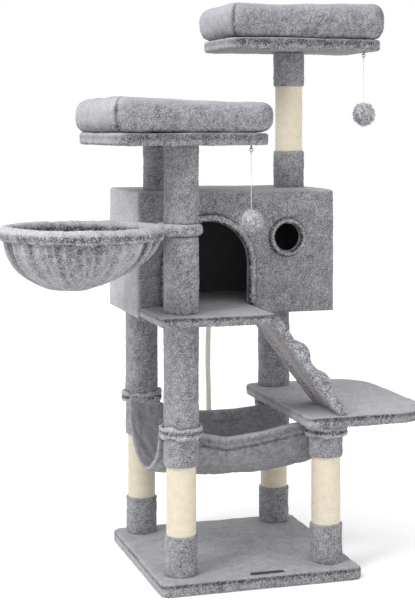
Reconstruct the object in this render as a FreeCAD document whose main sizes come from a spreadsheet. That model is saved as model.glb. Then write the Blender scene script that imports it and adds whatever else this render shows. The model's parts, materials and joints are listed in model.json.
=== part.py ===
"""Cat tree: a base with four posts, a cabin, two perches, a hammock, a basket, a ramp and toys.

Millimetres. +Z is up, +Y is the back, +X is the right-hand side seen from the front.
The origin is the centre of the base's underside.
"""
import FreeCAD, Part
import Sketcher
import math
import os
import re

doc = FreeCAD.newDocument("CatTree")
sizes = doc.addObject("Spreadsheet::Sheet", "Sizes")

# ---------------------------------------------------------------- driving dimensions
DIMENSIONS = {
    # base and plush covers
    "base_size": 500, "base_height": 30, "base_corner": 22, "skin": 4, "edge_round": 7,
    "gap": 0.3,
    # posts: places, radii and levels
    "post_x": 183, "post_front": -174, "post_back": 201,
    "tube_radius": 30, "tube_bore": 25, "sisal_radius": 35, "sleeve_radius": 39.5,
    "plush_radius": 41.5, "plug_length": 22, "sleeve_top": 124, "sisal_top": 287,
    # lower platform
    "platform_left": 113, "platform_width": 340, "platform_front": -245, "platform_depth": 495,
    "platform_bottom": 366, "platform_top": 393, "platform_small_corner": 30,
    "platform_big_corner": 110,
    # cabin and its floor, which runs forwards as a ledge
    "floor_bottom": 621, "floor_top": 645, "ledge_left": -250, "ledge_right": 30,
    "ledge_front": -255, "ledge_corner": 18,
    "cabin_half": 257, "cabin_front": -46, "cabin_back": 255, "cabin_top": 927,
    "cabin_corner": 16, "wall": 12, "cabin_skin": 5,
    "door_x": -76, "door_radius": 104, "door_spring": 747, "door_trim": 20, "trim_proud": 8,
    "lining": 5, "window_x": 131, "window_level": 809, "window_radius": 35, "window_trim": 14,
    # ramp, laid out along its own slope
    "ramp_angle": 53, "ramp_length": 310, "ramp_width": 182, "ramp_front": -238,
    "ramp_thickness": 24, "ramp_board": 12, "ramp_skin": 5, "ramp_top": 609,
    "rung_first": 88, "rung_second": 178, "rung_width": 26, "rung_height": 12,
    "rung_length": 150, "rung_lump": 25, "ramp_bare_strip": 78, "ramp_overrun": 40,
    "ramp_screw_x": 203, "ramp_screw_first": 123, "ramp_screw_second": 165,
    "ramp_screw_bite": 10,
    # upper posts
    "left_post_y": 20, "column_y": 85, "column_sleeve_top": 1023, "column_sisal_top": 1190,
    # big perch
    "big_width": 380, "big_depth": 400, "big_x": -183, "big_y": -85, "big_bottom": 1042,
    "big_board": 29, "perch_corner": 36, "big_bed_height": 80,
    # top perch
    "high_width": 410, "high_depth": 260, "high_x": 183, "high_y": 68, "high_bottom": 1279,
    "high_board": 29, "high_bed_height": 92,
    # beds on both perches
    "bed_overhang": 9, "bolster_width": 72, "bed_pad": 26, "bolster_round": 30,
    # basket
    "tongue_bottom": 828, "tongue_top": 857, "tongue_radius": 52, "basket_reach": 238,
    "hoop_radius": 178, "hoop_wire": 4, "hem_radius": 12, "bag_radius": 182,
    "bag_depth": 128, "bag_cloth": 5, "bracket_half": 38, "bracket_thickness": 13,
    "bracket_gap": 4, "arm_spread": 24, "arm_bite": 25,
    # hammock
    "hammock_radius": 143, "hammock_cloth": 5, "hammock_left": 225, "hammock_length": 415,
    "hammock_y": 13.5, "hammock_level": 357, "loop_radius": 52, "loop_height": 24, "loop_front_left": 368,
    "loop_back_left": 385, "loop_right": 350,
    # fastenings
    "rod_radius": 4, "rod_reach": 18, "head_radius": 7.5, "head_height": 4,
    "washer_radius": 11, "washer_height": 1.5, "running": 0.1, "loose": 0.3,
    "base_seat": 5, "seat_below_top": 1, "screw_radius": 2, "screw_length": 34,
    "screw_head": 4, "screw_head_height": 2, "screw_inset": 45,
    # hanging toys
    "left_toy_x": -27.5, "left_toy_y": -230, "left_ball_z": 863, "right_toy_x": 347,
    "right_toy_y": -25, "right_ball_z": 1118, "ball_radius": 30.5, "string_radius": 0.75,
    "toy_wire": 1, "toy_ring": 4, "toy_knot": 2.2, "eye_depth": 11,
    # rope under the cabin
    "rope_x": 8, "rope_y": 226, "rope_radius": 7, "rope_wire": 2, "rope_ring": 8,
    "rope_length": 319, "rope_knot": 12, "rope_tuft_radius": 13, "rope_tuft_half": 15,
    # plain sewn tag on the base
    "tag_x": -27, "tag_y": -232, "tag_width": 84, "tag_depth": 16, "tag_height": 1.2,
}
for row, (alias, value) in enumerate(DIMENSIONS.items(), start=1):
    sizes.set(f"A{row}", alias)
    sizes.set(f"B{row}", str(value))
    sizes.setAlias(f"B{row}", alias)
doc.recompute()

subparts = []
THROUGH = "60"          # the length of a tool that cuts right through a wall
PAST = "1"              # how far a tool runs past a face that it cuts


# ---------------------------------------------------------------- helpers
def formula(text):
    """Turn 'post_x + gap' into an expression on the sheet's cells."""
    return re.sub(r"[a-z][a-z_]*", lambda word: "Sizes." + word.group(0), str(text))


def bind(item, bindings):
    """Bind properties of an object to formulas on the sheet."""
    for prop, text in bindings.items():
        item.setExpression(prop, formula(text))


def place(item, x=0, y=0, z=0):
    """Bind an object's position."""
    bind(item, {"Placement.Base.x": x, "Placement.Base.y": y, "Placement.Base.z": z})


def finish(item, label):
    """Name a finished sub-part and list it for export."""
    item.Label = label
    subparts.append(item)
    return item


def cylinder(radius, height, x=0, y=0, z=0, along="Z"):
    """A cylinder that runs along +Z, +X or +Y from its place."""
    item = doc.addObject("Part::Cylinder", "Round")
    bind(item, {"Radius": radius, "Height": height})
    turns = {"Z": (FreeCAD.Vector(0, 0, 1), 0), "X": (FreeCAD.Vector(0, 1, 0), 90),
             "Y": (FreeCAD.Vector(1, 0, 0), -90)}
    item.Placement = FreeCAD.Placement(FreeCAD.Vector(), FreeCAD.Rotation(*turns[along]))
    place(item, x, y, z)
    return item


def block(length, width, height, x=0, y=0, z=0):
    """A box from its lowest corner."""
    item = doc.addObject("Part::Box", "Block")
    bind(item, {"Length": length, "Width": width, "Height": height})
    place(item, x, y, z)
    return item


def fuse(items, name="Joined"):
    """One shape from several."""
    if len(items) == 1:
        return items[0]
    item = doc.addObject("Part::MultiFuse", name)
    item.Shapes = items
    return item


def cut(base, tools, name="Trimmed"):
    """Base without the tools."""
    item = doc.addObject("Part::Cut", name)
    item.Base = base
    item.Tool = fuse(tools, name + "Tools")
    return item


def group(items, label):
    """Separate identical pieces in one node."""
    item = doc.addObject("Part::Compound", label)
    item.Links = items
    return finish(item, label)


def pipe(outer, inner, x, y, low, high):
    """A hollow cylinder between two levels."""
    wall = cylinder(outer, f"{high} - ({low})", x, y, low)
    bore = cylinder(inner, f"{high} - ({low}) + 2 * {PAST}", x, y, f"{low} - {PAST}")
    return cut(wall, [bore])


def outline_body(name, origin, corners, height, corner_radii, rim=None):
    """A padded outline with rounded corners, and a rim round when one is given.

    origin is the outline's corner with the lowest x and y, and corners are measured from it.
    """
    body = doc.addObject("PartDesign::Body", name)
    sketch = body.newObject("Sketcher::SketchObject", name + "Outline")
    ground = [plane for plane in body.Origin.OriginFeatures if plane.Role == "XY_Plane"][0]
    sketch.AttachmentSupport = [(ground, "")]
    sketch.MapMode = "FlatFace"
    count = len(corners)
    start = [FreeCAD.Vector(10 * math.cos(k), 10 * math.sin(k), 0) for k in range(count)]
    for k in range(count):
        sketch.addGeometry(Part.LineSegment(start[k], start[(k + 1) % count]), False)
    for k in range(count):
        sketch.addConstraint(Sketcher.Constraint("Coincident", k, 2, (k + 1) % count, 1))
    for k, (x, y) in enumerate(corners):
        for axis_line, kind, text in ((-2, "DistanceX", x), (-1, "DistanceY", y)):
            if text == 0:
                sketch.addConstraint(Sketcher.Constraint("PointOnObject", k, 1, axis_line))
                continue
            place_number = sketch.addConstraint(Sketcher.Constraint(kind, -1, 1, k, 1, 100.0))
            title = f"{kind}_{k}"
            sketch.renameConstraint(place_number, title)
            sketch.setExpression("Constraints." + title, formula(text))
    pad = body.newObject("PartDesign::Pad", name + "Pad")
    pad.Profile = sketch
    bind(pad, {"Length": height})
    place(body, *origin)
    doc.recompute()
    feature = pad
    for number, (radius, picked) in enumerate(corner_radii):
        spots = [sketch.Geometry[k].StartPoint for k in picked]
        names = []
        for index, edge in enumerate(feature.Shape.Edges, start=1):
            ends = [vertex.Point for vertex in edge.Vertexes]
            upright = len(ends) == 2 and abs(ends[0].z - ends[1].z) > 1
            upright = upright and abs(ends[0].x - ends[1].x) < 1e-6
            upright = upright and abs(ends[0].y - ends[1].y) < 1e-6
            if upright and any(math.hypot(ends[0].x - p.x, ends[0].y - p.y) < 1e-3 for p in spots):
                names.append(f"Edge{index}")
        rounded = body.newObject("PartDesign::Fillet", f"{name}Corner{number}")
        rounded.Base = (feature, names)
        bind(rounded, {"Radius": radius})
        doc.recompute()
        feature = rounded
    for number, (side, radius) in enumerate(rim or []):
        box = feature.Shape.BoundBox
        levels = {"top": [box.ZMax], "bottom": [box.ZMin], "both": [box.ZMin, box.ZMax]}[side]
        names = []
        for index, edge in enumerate(feature.Shape.Edges, start=1):
            span = edge.BoundBox
            if any(abs(span.ZMin - z) < 1e-4 and abs(span.ZMax - z) < 1e-4 for z in levels):
                names.append(f"Edge{index}")
        rounded = body.newObject("PartDesign::Fillet", f"{name}Rim{number}")
        rounded.Base = (feature, names)
        bind(rounded, {"Radius": radius})
        doc.recompute()
        feature = rounded
    return body


def rectangle(width, depth):
    """The four corners of a rectangle from its lowest corner."""
    return [(0, 0), (width, 0), (width, depth), (0, depth)]


def bolt(x, y, seat, tip, up):
    """A hex bolt whose head bears on a level, with its shank running up or down to its tip."""
    head = doc.addObject("Part::Prism", "Head")
    head.Polygon = 6
    bind(head, {"Circumradius": "head_radius", "Height": "head_height"})
    if up:
        place(head, x, y, f"{seat} - head_height")
        shank = cylinder("rod_radius", f"{tip} - ({seat}) + {PAST}", x, y, f"{seat} - {PAST}")
    else:
        place(head, x, y, seat)
        shank = cylinder("rod_radius", f"{seat} - ({tip}) + {PAST}", x, y, tip)
    return fuse([head, shank], "Bolt")


def washer(x, y, z):
    """A flat washer from its lower face."""
    return pipe("washer_radius", "rod_radius + loose", x, y, z, f"{z} + washer_height")


# ---------------------------------------------------------------- places shared by many pieces
FRONT_LEFT = ("-post_x", "post_front")
BACK_LEFT = ("-post_x", "post_back")
BACK_RIGHT = ("post_x", "post_back")
FRONT_RIGHT = ("post_x", "post_front")
LEFT_UPPER = ("-post_x", "left_post_y")
COLUMN = ("post_x", "column_y")
ROD_HOLE = "rod_radius + loose"
SOCKET = "washer_radius + 1"
ROOF_INSIDE = "cabin_top - cabin_skin - wall"


# ---------------------------------------------------------------- base
def covered_board(label, origin, corners, height, radii, tools, skin="skin"):
    """A board wrapped in a plush cover: the cover is a skin of even thickness."""
    low_x, low_y, low_z = origin
    outer = outline_body(label + "_outer", origin, corners(0), height, radii,
                         [("both", "edge_round")])
    inner = outline_body(label + "_core", (f"{low_x} + {skin}", f"{low_y} + {skin}",
                                           f"{low_z} + {skin}"),
                         corners(skin), f"{height} - 2 * {skin}",
                         [(f"{radius} - {skin}", picked) for radius, picked in radii])
    finish(cut(inner, tools, "Board"), label + "_board")
    finish(cut(outer, [inner] + tools, "Cover"), label + "_cover")


def base_corners(inset):
    return rectangle(f"base_size - 2 * {inset}", f"base_size - 2 * {inset}")


POSTS = (FRONT_LEFT, BACK_LEFT, BACK_RIGHT, FRONT_RIGHT)
base_tools = []
for spot in POSTS:
    base_tools.append(cylinder(ROD_HOLE, f"base_height + 2 * {PAST}", *spot, f"-{PAST}"))
    base_tools.append(cylinder(SOCKET, f"base_seat + washer_height + {PAST}", *spot, f"-{PAST}"))
covered_board("base", ("-base_size / 2", "-base_size / 2", 0), base_corners, "base_height",
              [("base_corner", (0, 1, 2, 3))], base_tools)
finish(block("tag_width", "tag_depth", "tag_height", "tag_x", "tag_y", "base_height"), "base_tag")


# ---------------------------------------------------------------- lower platform
def platform_corners(inset):
    return rectangle(f"platform_width - 2 * {inset}", f"platform_depth - 2 * {inset}")


RAMP_SCREW_X = "ramp_screw_x"
RAMP_SCREW_Y = ("ramp_front + ramp_screw_first", "ramp_front + ramp_screw_second")
PLATFORM_SEAT = "(platform_top - skin - head_height - washer_height - seat_below_top)"
platform_tools = [
    cylinder(ROD_HOLE, THROUGH, *BACK_RIGHT, f"platform_bottom - {PAST}"),
    cylinder(ROD_HOLE, f"{PLATFORM_SEAT} - platform_bottom + 2 * {PAST}", *FRONT_RIGHT,
             f"platform_bottom - {PAST}"),
    cylinder(SOCKET, f"platform_top - skin - {PLATFORM_SEAT}", *FRONT_RIGHT, PLATFORM_SEAT),
]
for screw_y in RAMP_SCREW_Y:
    platform_tools.append(cylinder("screw_radius + running", THROUGH, RAMP_SCREW_X, screw_y,
                                   f"platform_bottom - {PAST}"))
covered_board("lower_platform", ("platform_left", "platform_front", "platform_bottom"),
              platform_corners, "platform_top - platform_bottom",
              [("platform_small_corner", (0, 3)), ("platform_big_corner", (1, 2))],
              platform_tools)


# ---------------------------------------------------------------- cabin floor with its ledge
def floor_corners(inset):
    """An L: the cabin's whole floor, and a ledge in front of its left part."""
    left = "(ledge_left + cabin_half - cabin_skin)"
    right = f"(2 * cabin_half - 2 * cabin_skin - 2 * {inset})"
    step = "(cabin_front + cabin_skin - ledge_front)"
    ledge_end = f"(ledge_right + cabin_half - cabin_skin - 2 * {inset})"
    depth = f"(cabin_back - cabin_skin - ledge_front - 2 * {inset})"
    return [(0, 0), (ledge_end, 0), (ledge_end, step), (right, step), (right, depth), (0, depth)]


floor_tools = [cylinder(ROD_HOLE, THROUGH, *spot, f"floor_bottom - {PAST}")
               for spot in (FRONT_LEFT, BACK_LEFT, BACK_RIGHT)]
floor_tools.append(cylinder("rope_wire + running", f"eye_depth + 2 * {PAST}", "rope_x", "rope_y",
                            f"floor_bottom - {PAST}"))
covered_board("cabin_floor", ("-cabin_half + cabin_skin", "ledge_front", "floor_bottom"),
              floor_corners, "floor_top - floor_bottom",
              [("ledge_corner", (0, 1)), ("cabin_corner - cabin_skin", (3, 4, 5))], floor_tools)


# ---------------------------------------------------------------- cabin walls, roof and cover
def arch(radius, depth, front):
    """A doorway's outline as a solid: straight sides under a half circle."""
    top = cylinder(radius, depth, "door_x", front, "door_spring", along="Y")
    sides = block(f"2 * ({radius})", depth, "door_spring - floor_top", f"door_x - ({radius})",
                  front, "floor_top")
    below = block(f"2 * ({radius}) + 2 * {PAST}", f"{depth} + 2 * {PAST}", "door_radius",
                  f"door_x - ({radius}) - {PAST}", f"{front} - {PAST}", "floor_top - door_radius")
    return cut(fuse([top, sides], "Arch"), [below], "Doorway")


def porthole(radius, depth, front):
    return cylinder(radius, depth, "window_x", front, "window_level", along="Y")


TOOL_FRONT = "cabin_front - 20"
INNER_HALF = "(cabin_half - cabin_skin - wall)"
WALL_HEIGHT = f"{ROOF_INSIDE} - floor_top"
WALL_DEPTH = "cabin_back - cabin_front - 2 * cabin_skin"
SIDE_FACE = "(cabin_half - cabin_skin)"
SCREW_LEVELS = ("floor_top + screw_inset", f"{ROOF_INSIDE} - screw_inset")
wall_screws = []
screw_bores = []
for left in (True, False):
    shank_start = f"-{SIDE_FACE}" if left else f"{SIDE_FACE} - screw_length"
    bore_start = shank_start if left else f"{shank_start} - {PAST}"
    head_start = f"-{SIDE_FACE}" if left else f"{SIDE_FACE} - screw_head_height"
    seat_start = head_start if left else f"{head_start} - running"
    for screw_y in ("cabin_front + cabin_skin + wall / 2", "cabin_back - cabin_skin - wall / 2"):
        for level in SCREW_LEVELS:
            shank = cylinder("screw_radius", "screw_length", shank_start, screw_y, level, along="X")
            head = cylinder("screw_head", "screw_head_height", head_start, screw_y, level, along="X")
            wall_screws.append(fuse([shank, head], "WallScrew"))
            bore = cylinder("screw_radius + running", f"screw_length + {PAST}", bore_start, screw_y,
                            level, along="X")
            seat = cylinder("screw_head + running", "screw_head_height + running", seat_start,
                            screw_y, level, along="X")
            screw_bores += [bore, seat]
group(wall_screws, "cabin_wall_screws")

front_wall = block(f"2 * {INNER_HALF}", "wall", WALL_HEIGHT, f"-{INNER_HALF}",
                   "cabin_front + cabin_skin", "floor_top")
finish(cut(front_wall, [arch("door_radius + lining", THROUGH, TOOL_FRONT),
                        porthole("window_radius + lining", THROUGH, TOOL_FRONT)]
           + screw_bores, "FrontWall"), "cabin_front_wall")
back_wall = block(f"2 * {INNER_HALF}", "wall", WALL_HEIGHT, f"-{INNER_HALF}",
                  "cabin_back - cabin_skin - wall", "floor_top")
finish(cut(back_wall, screw_bores, "BackWall"), "cabin_back_wall")
side_walls = []
for start in ("-cabin_half + cabin_skin", INNER_HALF):
    side_wall = block("wall", WALL_DEPTH, WALL_HEIGHT, start, "cabin_front + cabin_skin",
                      "floor_top")
    side_walls.append(cut(side_wall, screw_bores, "SideWall"))
group(side_walls, "cabin_side_walls")

roof_tools = [cylinder(ROD_HOLE, THROUGH, *spot, f"{ROOF_INSIDE} - {PAST}")
              for spot in (LEFT_UPPER, COLUMN)]
roof = block("2 * cabin_half - 2 * cabin_skin", WALL_DEPTH, "wall", "-cabin_half + cabin_skin",
             "cabin_front + cabin_skin", ROOF_INSIDE)
finish(cut(roof, roof_tools, "Roof"), "cabin_roof")

cover_outer = outline_body("CabinCover", ("-cabin_half", "cabin_front", "floor_bottom"),
                           rectangle("2 * cabin_half", "cabin_back - cabin_front"),
                           "cabin_top - floor_bottom", [("cabin_corner", (0, 1, 2, 3))],
                           [("top", "cabin_corner")])
cover_room = block("2 * cabin_half - 2 * cabin_skin", WALL_DEPTH,
                   f"cabin_top - cabin_skin - floor_bottom + {PAST}", "-cabin_half + cabin_skin",
                   "cabin_front + cabin_skin", f"floor_bottom - {PAST}")
ledge_notch = block(f"ledge_right + cabin_half + {PAST}", f"cabin_skin + 2 * {PAST}",
                    f"floor_top - floor_bottom + {PAST}", f"-cabin_half - {PAST}",
                    f"cabin_front - {PAST}", f"floor_bottom - {PAST}")
finish(cut(cover_outer, [cover_room, ledge_notch,
                         arch("door_radius + lining", THROUGH, TOOL_FRONT),
                         porthole("window_radius + lining", THROUGH, TOOL_FRONT)]
           + roof_tools, "CabinSkin"), "cabin_cover")

# plush rolls that bind the doorway and the window
JAMB = "cabin_skin + wall"
door_roll = cut(arch("door_radius + door_trim", "trim_proud", "cabin_front - trim_proud"),
                [arch("door_radius", THROUGH, TOOL_FRONT)], "DoorRoll")
door_jamb = cut(arch("door_radius + lining", JAMB, "cabin_front"),
                [arch("door_radius", THROUGH, TOOL_FRONT)], "DoorJamb")
finish(fuse([door_roll, door_jamb], "DoorTrim"), "door_trim")
window_roll = cut(porthole("window_radius + window_trim", "trim_proud", "cabin_front - trim_proud"),
                  [porthole("window_radius", THROUGH, TOOL_FRONT)], "WindowRoll")
window_jamb = cut(porthole("window_radius + lining", JAMB, "cabin_front"),
                  [porthole("window_radius", THROUGH, TOOL_FRONT)], "WindowJamb")
finish(fuse([window_roll, window_jamb], "WindowTrim"), "window_trim")


# ---------------------------------------------------------------- posts
# each tube: where it stands, and its lowest and highest level
TUBES = (
    (FRONT_LEFT, "base_height", "floor_bottom"),
    (FRONT_LEFT, "floor_top", "(tongue_bottom - gap)"),
    (FRONT_LEFT, "(tongue_top + gap)", "big_bottom"),
    (BACK_LEFT, "base_height", "floor_bottom"),
    (BACK_RIGHT, "base_height", "platform_bottom"),
    (BACK_RIGHT, "platform_top", "floor_bottom"),
    (FRONT_RIGHT, "base_height", "platform_bottom"),
    (LEFT_UPPER, "cabin_top", "big_bottom"),
    (COLUMN, "cabin_top", "high_bottom"),
)
tubes = []
plugs = []
for spot, low, high in TUBES:
    tubes.append(pipe("tube_radius", "tube_bore", *spot, low, high))
    for start in (low, f"{high} - plug_length"):
        plugs.append(pipe("tube_bore - running", "rod_radius + running", *spot, start,
                          f"{start} + plug_length"))
group(tubes, "post_tubes")
group(plugs, "tube_end_plugs")


def wraps(label, radius, stretches):
    """Sleeves round the tubes: plush cloth, or windings of sisal rope."""
    group([pipe(radius, "tube_radius", *spot, low, high) for spot, low, high in stretches], label)


wraps("foot_sleeves", "sleeve_radius", [(spot, "base_height", "sleeve_top") for spot in POSTS])
wraps("sisal_windings", "sisal_radius",
      [(spot, "sleeve_top", "sisal_top") for spot in POSTS]
      + [(COLUMN, "column_sleeve_top", "column_sisal_top")])
wraps("left_posts_plush", "plush_radius",
      [(spot, "sisal_top", "floor_bottom") for spot in (FRONT_LEFT, BACK_LEFT)])
wraps("right_posts_plush", "plush_radius",
      [(spot, "sisal_top", "platform_bottom") for spot in (FRONT_RIGHT, BACK_RIGHT)])
wraps("basket_post_plush", "plush_radius",
      [(FRONT_LEFT, "floor_top", "(tongue_bottom - gap)"),
       (FRONT_LEFT, "(tongue_top + gap)", "big_bottom")])
wraps("back_right_upper_plush", "plush_radius", [(BACK_RIGHT, "platform_top", "floor_bottom")])
wraps("left_upper_plush", "plush_radius", [(LEFT_UPPER, "cabin_top", "big_bottom")])
wraps("column_sleeves", "sleeve_radius",
      [(COLUMN, "cabin_top", "column_sleeve_top"), (COLUMN, "column_sisal_top", "high_bottom")])

# ---------------------------------------------------------------- bolts, washers and studs
bolts = []
for spot in POSTS:
    bolts.append(bolt(*spot, "base_seat", "base_height + rod_reach", True))
    bolts.append(washer(*spot, "base_seat"))
for spot in (BACK_LEFT, BACK_RIGHT):
    bolts.append(bolt(*spot, "(floor_top + washer_height)", "floor_bottom - rod_reach", False))
    bolts.append(washer(*spot, "floor_top"))
for spot in (LEFT_UPPER, COLUMN):
    bolts.append(bolt(*spot, f"({ROOF_INSIDE} - washer_height)", "cabin_top + rod_reach", True))
    bolts.append(washer(*spot, f"({ROOF_INSIDE} - washer_height)"))
bolts.append(bolt(*FRONT_RIGHT, f"({PLATFORM_SEAT} + washer_height)",
                  "platform_bottom - rod_reach", False))
bolts.append(washer(*FRONT_RIGHT, PLATFORM_SEAT))


def perch_seat(bottom, board):
    """The level of the socket's floor in a perch board's top side."""
    return f"({bottom} + {board} - skin - head_height - washer_height - seat_below_top)"


BIG_SEAT = perch_seat("big_bottom", "big_board")
HIGH_SEAT = perch_seat("high_bottom", "high_board")
for spot, seat, bottom in ((FRONT_LEFT, BIG_SEAT, "big_bottom"), (LEFT_UPPER, BIG_SEAT, "big_bottom"),
                           (COLUMN, HIGH_SEAT, "high_bottom")):
    bolts.append(bolt(*spot, f"({seat} + washer_height)", f"{bottom} - rod_reach", False))
    bolts.append(washer(*spot, seat))
group(bolts, "frame_bolts")

group([cylinder("rod_radius", "floor_top - floor_bottom + 2 * rod_reach", *FRONT_LEFT,
                "floor_bottom - rod_reach"),
       cylinder("rod_radius", "tongue_top - tongue_bottom + 2 * rod_reach", *FRONT_LEFT,
                "tongue_bottom - rod_reach"),
       cylinder("rod_radius", "platform_top - platform_bottom + 2 * rod_reach", *BACK_RIGHT,
                "platform_bottom - rod_reach")], "joining_studs")


# ---------------------------------------------------------------- ramp
def on_slope(item):
    """Lay a piece made along +X down the ramp's slope, with its top end at the ledge."""
    laid = doc.addObject("Part::Compound", "OnSlope")
    laid.Links = [item]
    laid.Placement = FreeCAD.Placement(FreeCAD.Vector(), FreeCAD.Rotation(FreeCAD.Vector(0, 1, 0), 0))
    bind(laid, {"Placement.Rotation.Angle": "ramp_angle"})
    place(laid, "ledge_right", "ramp_front", "ramp_top")
    return laid


RAMP_START = "-ramp_overrun"
RAMP_SPAN = "ramp_length + ramp_overrun"
RUNG_REACHES = ("rung_first", "rung_second")
ramp_plank = block(RAMP_SPAN, "ramp_width", "ramp_thickness", RAMP_START, 0, 0)
ramp_lumps = [cylinder("rung_lump", "ramp_width", reach, 0, "ramp_thickness - rung_height",
                       along="Y") for reach in RUNG_REACHES]
ramp_shape = on_slope(fuse([ramp_plank] + ramp_lumps, "RampOuter"))
ramp_core = on_slope(block(RAMP_SPAN, "ramp_width - 2 * ramp_skin", "ramp_board", RAMP_START,
                           "ramp_skin", "ramp_skin"))
bare_strip = on_slope(block(RAMP_SPAN, "ramp_bare_strip", f"ramp_skin + {PAST}", RAMP_START,
                            "(ramp_width - ramp_bare_strip) / 2", f"-{PAST}"))
rungs = [on_slope(block("rung_width", "rung_length", "rung_height", f"{reach} - rung_width / 2",
                        "(ramp_width - rung_length) / 2", "ramp_skin + ramp_board"))
         for reach in RUNG_REACHES]
group(rungs, "ramp_rungs")
above_ledge = block("ramp_length", f"ramp_width + 2 * {PAST}", "2 * ramp_length",
                    "ledge_right - ramp_length", f"ramp_front - {PAST}", "ramp_top - ramp_length")
below_foot = block("2 * ramp_length", f"ramp_width + 2 * {PAST}", "ramp_length", "ledge_right",
                   f"ramp_front - {PAST}", "platform_top - ramp_length")
ramp_bores = []
ramp_screws = []
for screw_y in RAMP_SCREW_Y:
    reach = "platform_top - platform_bottom + ramp_screw_bite"
    ramp_bores.append(cylinder("screw_radius + running", f"{reach} + running", RAMP_SCREW_X,
                               screw_y, "platform_bottom"))
    shank = cylinder("screw_radius", reach, RAMP_SCREW_X, screw_y, "platform_bottom")
    head = cylinder("screw_head", "screw_head_height", RAMP_SCREW_X, screw_y,
                    "platform_bottom - screw_head_height")
    ramp_screws.append(fuse([shank, head], "RampScrew"))
group(ramp_screws, "ramp_screws")
finish(cut(ramp_core, [above_ledge, below_foot] + ramp_bores, "RampBoard"), "ramp_board")
finish(cut(ramp_shape, [ramp_core, bare_strip, above_ledge, below_foot] + rungs + ramp_bores,
           "RampCover"), "ramp_cover")


# ---------------------------------------------------------------- perches and their beds
def perch(label, width, depth, x, y, bottom, board, bolt_spots, seat, toy_spot):
    """A wrapped board, with sockets for its bolts and a bore for the toy's eye."""
    def corners(inset):
        return rectangle(f"{width} - 2 * {inset}", f"{depth} - 2 * {inset}")

    tools = []
    for spot in bolt_spots:
        tools.append(cylinder(ROD_HOLE, f"{seat} - {bottom} + 2 * {PAST}", *spot,
                              f"{bottom} - {PAST}"))
        tools.append(cylinder(SOCKET, f"{bottom} + {board} - {seat} + {PAST}", *spot, seat))
    tools.append(cylinder("toy_wire + running", f"eye_depth + 2 * {PAST}", *toy_spot,
                          f"{bottom} - {PAST}"))
    covered_board(label, (f"{x} - {width} / 2", f"{y} - {depth} / 2", bottom), corners, board,
                  [("perch_corner", (0, 1, 2, 3))], tools)


def bed(label, width, depth, x, y, level, height):
    """A round bolster that lies on the perch's board, and the pad that fills its floor."""
    outer = outline_body(label + "_shape",
                         (f"{x} - {width} / 2 - bed_overhang", f"{y} - {depth} / 2 - bed_overhang",
                          level),
                         rectangle(f"{width} + 2 * bed_overhang", f"{depth} + 2 * bed_overhang"),
                         height, [("perch_corner + bed_overhang", (0, 1, 2, 3))],
                         [("top", "bolster_round"), ("bottom", "bolster_round / 2")])
    reach = "(bolster_width - bed_overhang)"
    well = outline_body(label + "_well",
                        (f"{x} - {width} / 2 + {reach}", f"{y} - {depth} / 2 + {reach}",
                         f"{level} - {PAST}"),
                        rectangle(f"{width} - 2 * {reach}", f"{depth} - 2 * {reach}"),
                        f"{height} + 2 * {PAST}", [("perch_corner / 2", (0, 1, 2, 3))])
    finish(cut(outer, [well], "Bolster"), label + "_bolster")
    pad = outline_body(label + "_pad_shape",
                       (f"{x} - {width} / 2 + {reach}", f"{y} - {depth} / 2 + {reach}", level),
                       rectangle(f"{width} - 2 * {reach}", f"{depth} - 2 * {reach}"),
                       "bed_pad", [("perch_corner / 2", (0, 1, 2, 3))])
    finish(pad, label + "_pad")


LEFT_TOY = ("left_toy_x", "left_toy_y")
RIGHT_TOY = ("right_toy_x", "right_toy_y")
perch("big_perch", "big_width", "big_depth", "big_x", "big_y", "big_bottom", "big_board",
      (FRONT_LEFT, LEFT_UPPER), BIG_SEAT, LEFT_TOY)
perch("high_perch", "high_width", "high_depth", "high_x", "high_y", "high_bottom", "high_board",
      (COLUMN,), HIGH_SEAT, RIGHT_TOY)
bed("big_bed", "big_width", "big_depth", "big_x", "big_y", "big_bottom + big_board",
    "big_bed_height")
bed("high_bed", "high_width", "high_depth", "high_x", "high_y", "high_bottom + high_board",
    "high_bed_height")

# ---------------------------------------------------------------- basket on the front left post
BASKET_X = "(-post_x - basket_reach)"
TONGUE_MIDDLE = "(tongue_bottom + (tongue_top - tongue_bottom) / 2)"
CLOTH_GAP = "0.2"
BOWL_OVERRUN = 20       # degrees by which the hollow runs past the bag's rim


def torus(ring_radius, wire_radius, x, y, z):
    item = doc.addObject("Part::Torus", "Ring")
    bind(item, {"Radius1": ring_radius, "Radius2": wire_radius})
    place(item, x, y, z)
    return item


def half_bowl(radius, depth, top_angle):
    item = doc.addObject("Part::Ellipsoid", "Bowl")
    bind(item, {"Radius1": depth, "Radius2": radius, "Radius3": radius})
    item.Angle1 = -90
    item.Angle2 = top_angle
    place(item, BASKET_X, "post_front", f"{TONGUE_MIDDLE} - hem_radius")
    return item


HOOP_AT = (BASKET_X, "post_front", TONGUE_MIDDLE)
HOOP_SIDE = f"{BASKET_X} + hoop_radius"
ARM_LENGTH = "basket_reach - hoop_radius + arm_bite"
ARM_PLACES = ("post_front + arm_spread", "post_front - arm_spread")
PLATE_LOW = f"{TONGUE_MIDDLE} - bracket_thickness / 2"
PLATE_END = "(basket_reach - hoop_radius - hem_radius - bracket_gap)"
arms = [cylinder("hoop_wire", ARM_LENGTH, HOOP_SIDE, arm_y, TONGUE_MIDDLE, along="X")
        for arm_y in ARM_PLACES]
finish(fuse([torus("hoop_radius", "hoop_wire", *HOOP_AT)] + arms, "Hoop"), "basket_hoop")
arm_bores = [cylinder("hoop_wire + running", f"{ARM_LENGTH} + 2 * {PAST}", f"{HOOP_SIDE} - {PAST}",
                      arm_y, TONGUE_MIDDLE, along="X") for arm_y in ARM_PLACES]
pivot_bore = cylinder("rod_radius + running", THROUGH, *FRONT_LEFT, f"tongue_bottom - {PAST}")
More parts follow.
